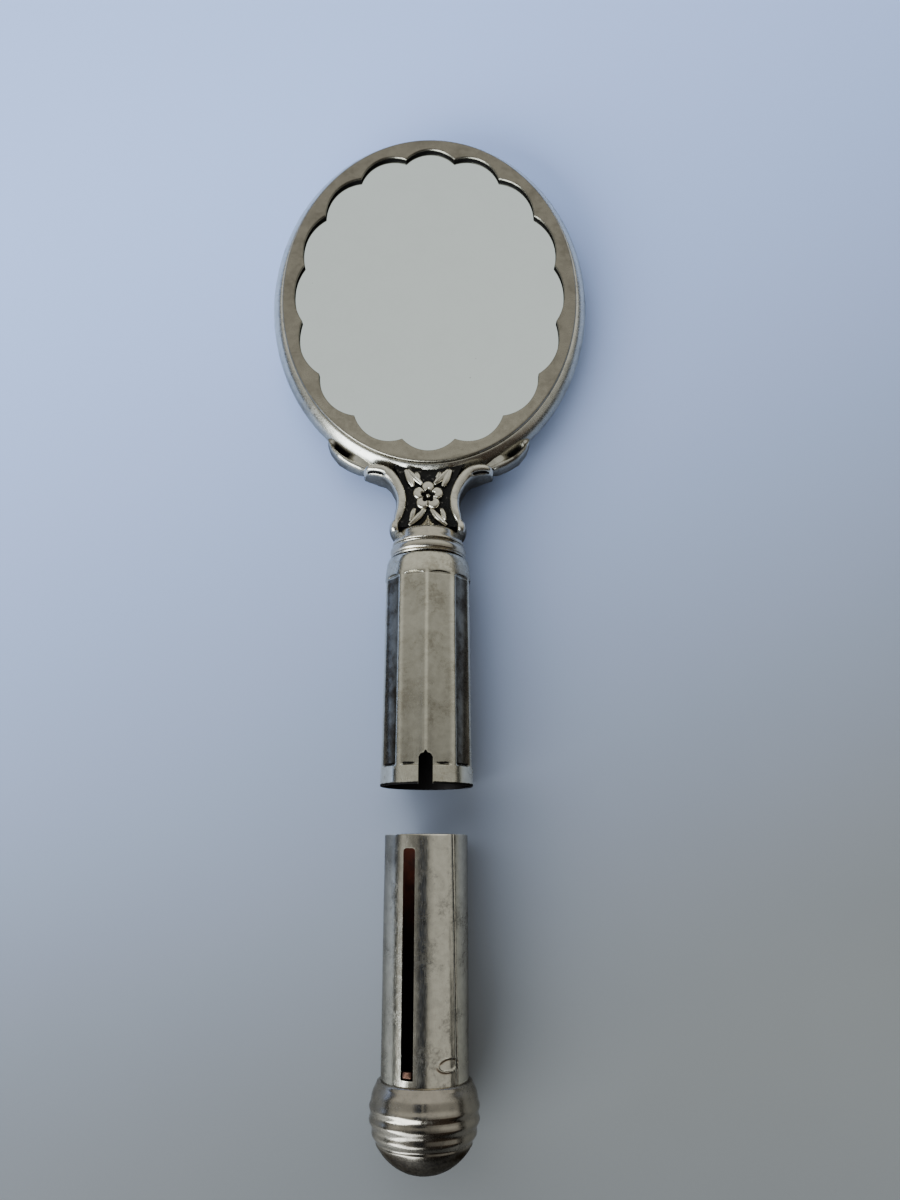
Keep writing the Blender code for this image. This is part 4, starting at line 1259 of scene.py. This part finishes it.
def area_light(name, place, size, watts, color):
    """A rectangular lamp that faces the middle of the head."""
    data = bpy.data.lights.new(name, "AREA")
    data.shape = "RECTANGLE"
    data.size, data.size_y = size
    data.energy = watts
    data.color = color
    light = add_object(name, data)
    light.location = place
    light.rotation_euler = (-Vector(place)).to_track_quat("-Z", "Y").to_euler()
    return light


# The light that comes from the near side is warmer than the rest.
WARM_LIGHT = (1.0, 0.72, 0.52)
PLAIN_LIGHT = (0.97, 1.0, 0.99)
BACKDROP = 0.45


def make_world():
    """A dim room, lighter overhead and behind the head. Where it is seen directly it is an even grey."""
    world = bpy.data.worlds.new("studio")
    bpy.context.scene.world = world
    g = Graph(world, "Background", "Generated")
    direction = g.place()
    overhead = g.ramp(direction["Z"], 0.14, 0.27, 0.08, 1.22)
    near_side = g.ramp(direction["Y"], -0.46, -0.20, 0.12, 1.0)
    far_side = g.ramp(direction["Y"], 0.05, 0.45, 0.32, 0.64)
    strength = g.times(g.times(overhead, near_side), far_side)
    seen = g.node("LightPath").outputs["Is Camera Ray"]
    g.link(g.mix(g.larger(near_side, seen), WARM_LIGHT, PLAIN_LIGHT), g.shader.inputs["Color"])
    g.link(g.node("Mix", Factor=seen, A=strength, B=BACKDROP).outputs["Result"], g.shader.inputs["Strength"])


def make_lights():
    """A window low on the near left, and a soft wash of daylight that shows in no reflection."""
    area_light("window", (-0.55, -0.73, 0.41), (1.0, 0.6), 19.0, (0.82, 0.91, 1.0))
    wash = area_light("wash", (-0.30, 0.28, 0.62), (0.9, 0.9), 6.0, (0.70, 0.83, 1.0))
    wash.visible_glossy = False


HANDSET_SIZE = (0.078, 0.150, 0.008)
HANDSET_PLACE = (-0.024, -0.168, AXIS_Z + CAMERA_HEIGHT + 0.008)


def make_handset():
    """The dark back of a phone beside the camera, which the silver reflects."""
    work = bmesh.new()
    bmesh.ops.create_cube(work, size=1.0)
    bmesh.ops.scale(work, verts=work.verts, vec=HANDSET_SIZE)
    bmesh.ops.bevel(work, geom=work.edges[:], offset=0.003, segments=3, affect="EDGES")
    mesh = bpy.data.meshes.new("handset")
    work.to_mesh(mesh)
    work.free()
    mesh.shade_smooth()
    handset = add_object("handset", mesh)
    handset.location = HANDSET_PLACE
    handset.visible_camera = False
    g = new_material("handset_black")
    grain = g.noise(0.4)
    mesh.materials.append(g.finish(g.mix(grain, (0.03, 0.03, 0.035), (0.05, 0.05, 0.055)), 0.5, 0.0))


make_camera()
make_bezel()
for kept, look in (("mirror_glass", "mirror"), ("backing_card", "card")):
    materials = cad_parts[kept].data.materials
    materials.clear()
    materials.append(LOOKS[look])
make_rim()
make_back_cover()
for side, sign in (("front", 1), ("back", -1)):
    make_shoulder(side, sign)
    make_flower(side, sign)
    make_boss(side, sign)
    for hand, mirror in (("left", -1), ("right", 1)):
        make_spray("upper", UPPER_SPRAY, hand, mirror, side, sign)
        make_spray("lower", LOWER_SPRAY, hand, mirror, side, sign)
for side, mirror in (("left", 1), ("right", -1)):
    make_scroll(side, mirror)
for side, sign in (("left", -1), ("right", 1)):
    make_ear(side, sign)
make_neck()
make_sleeve()
make_barrel()
make_ball()
make_carrier()
make_floor()
make_world()
make_lights()
make_handset()

bpy.context.view_layer.update()
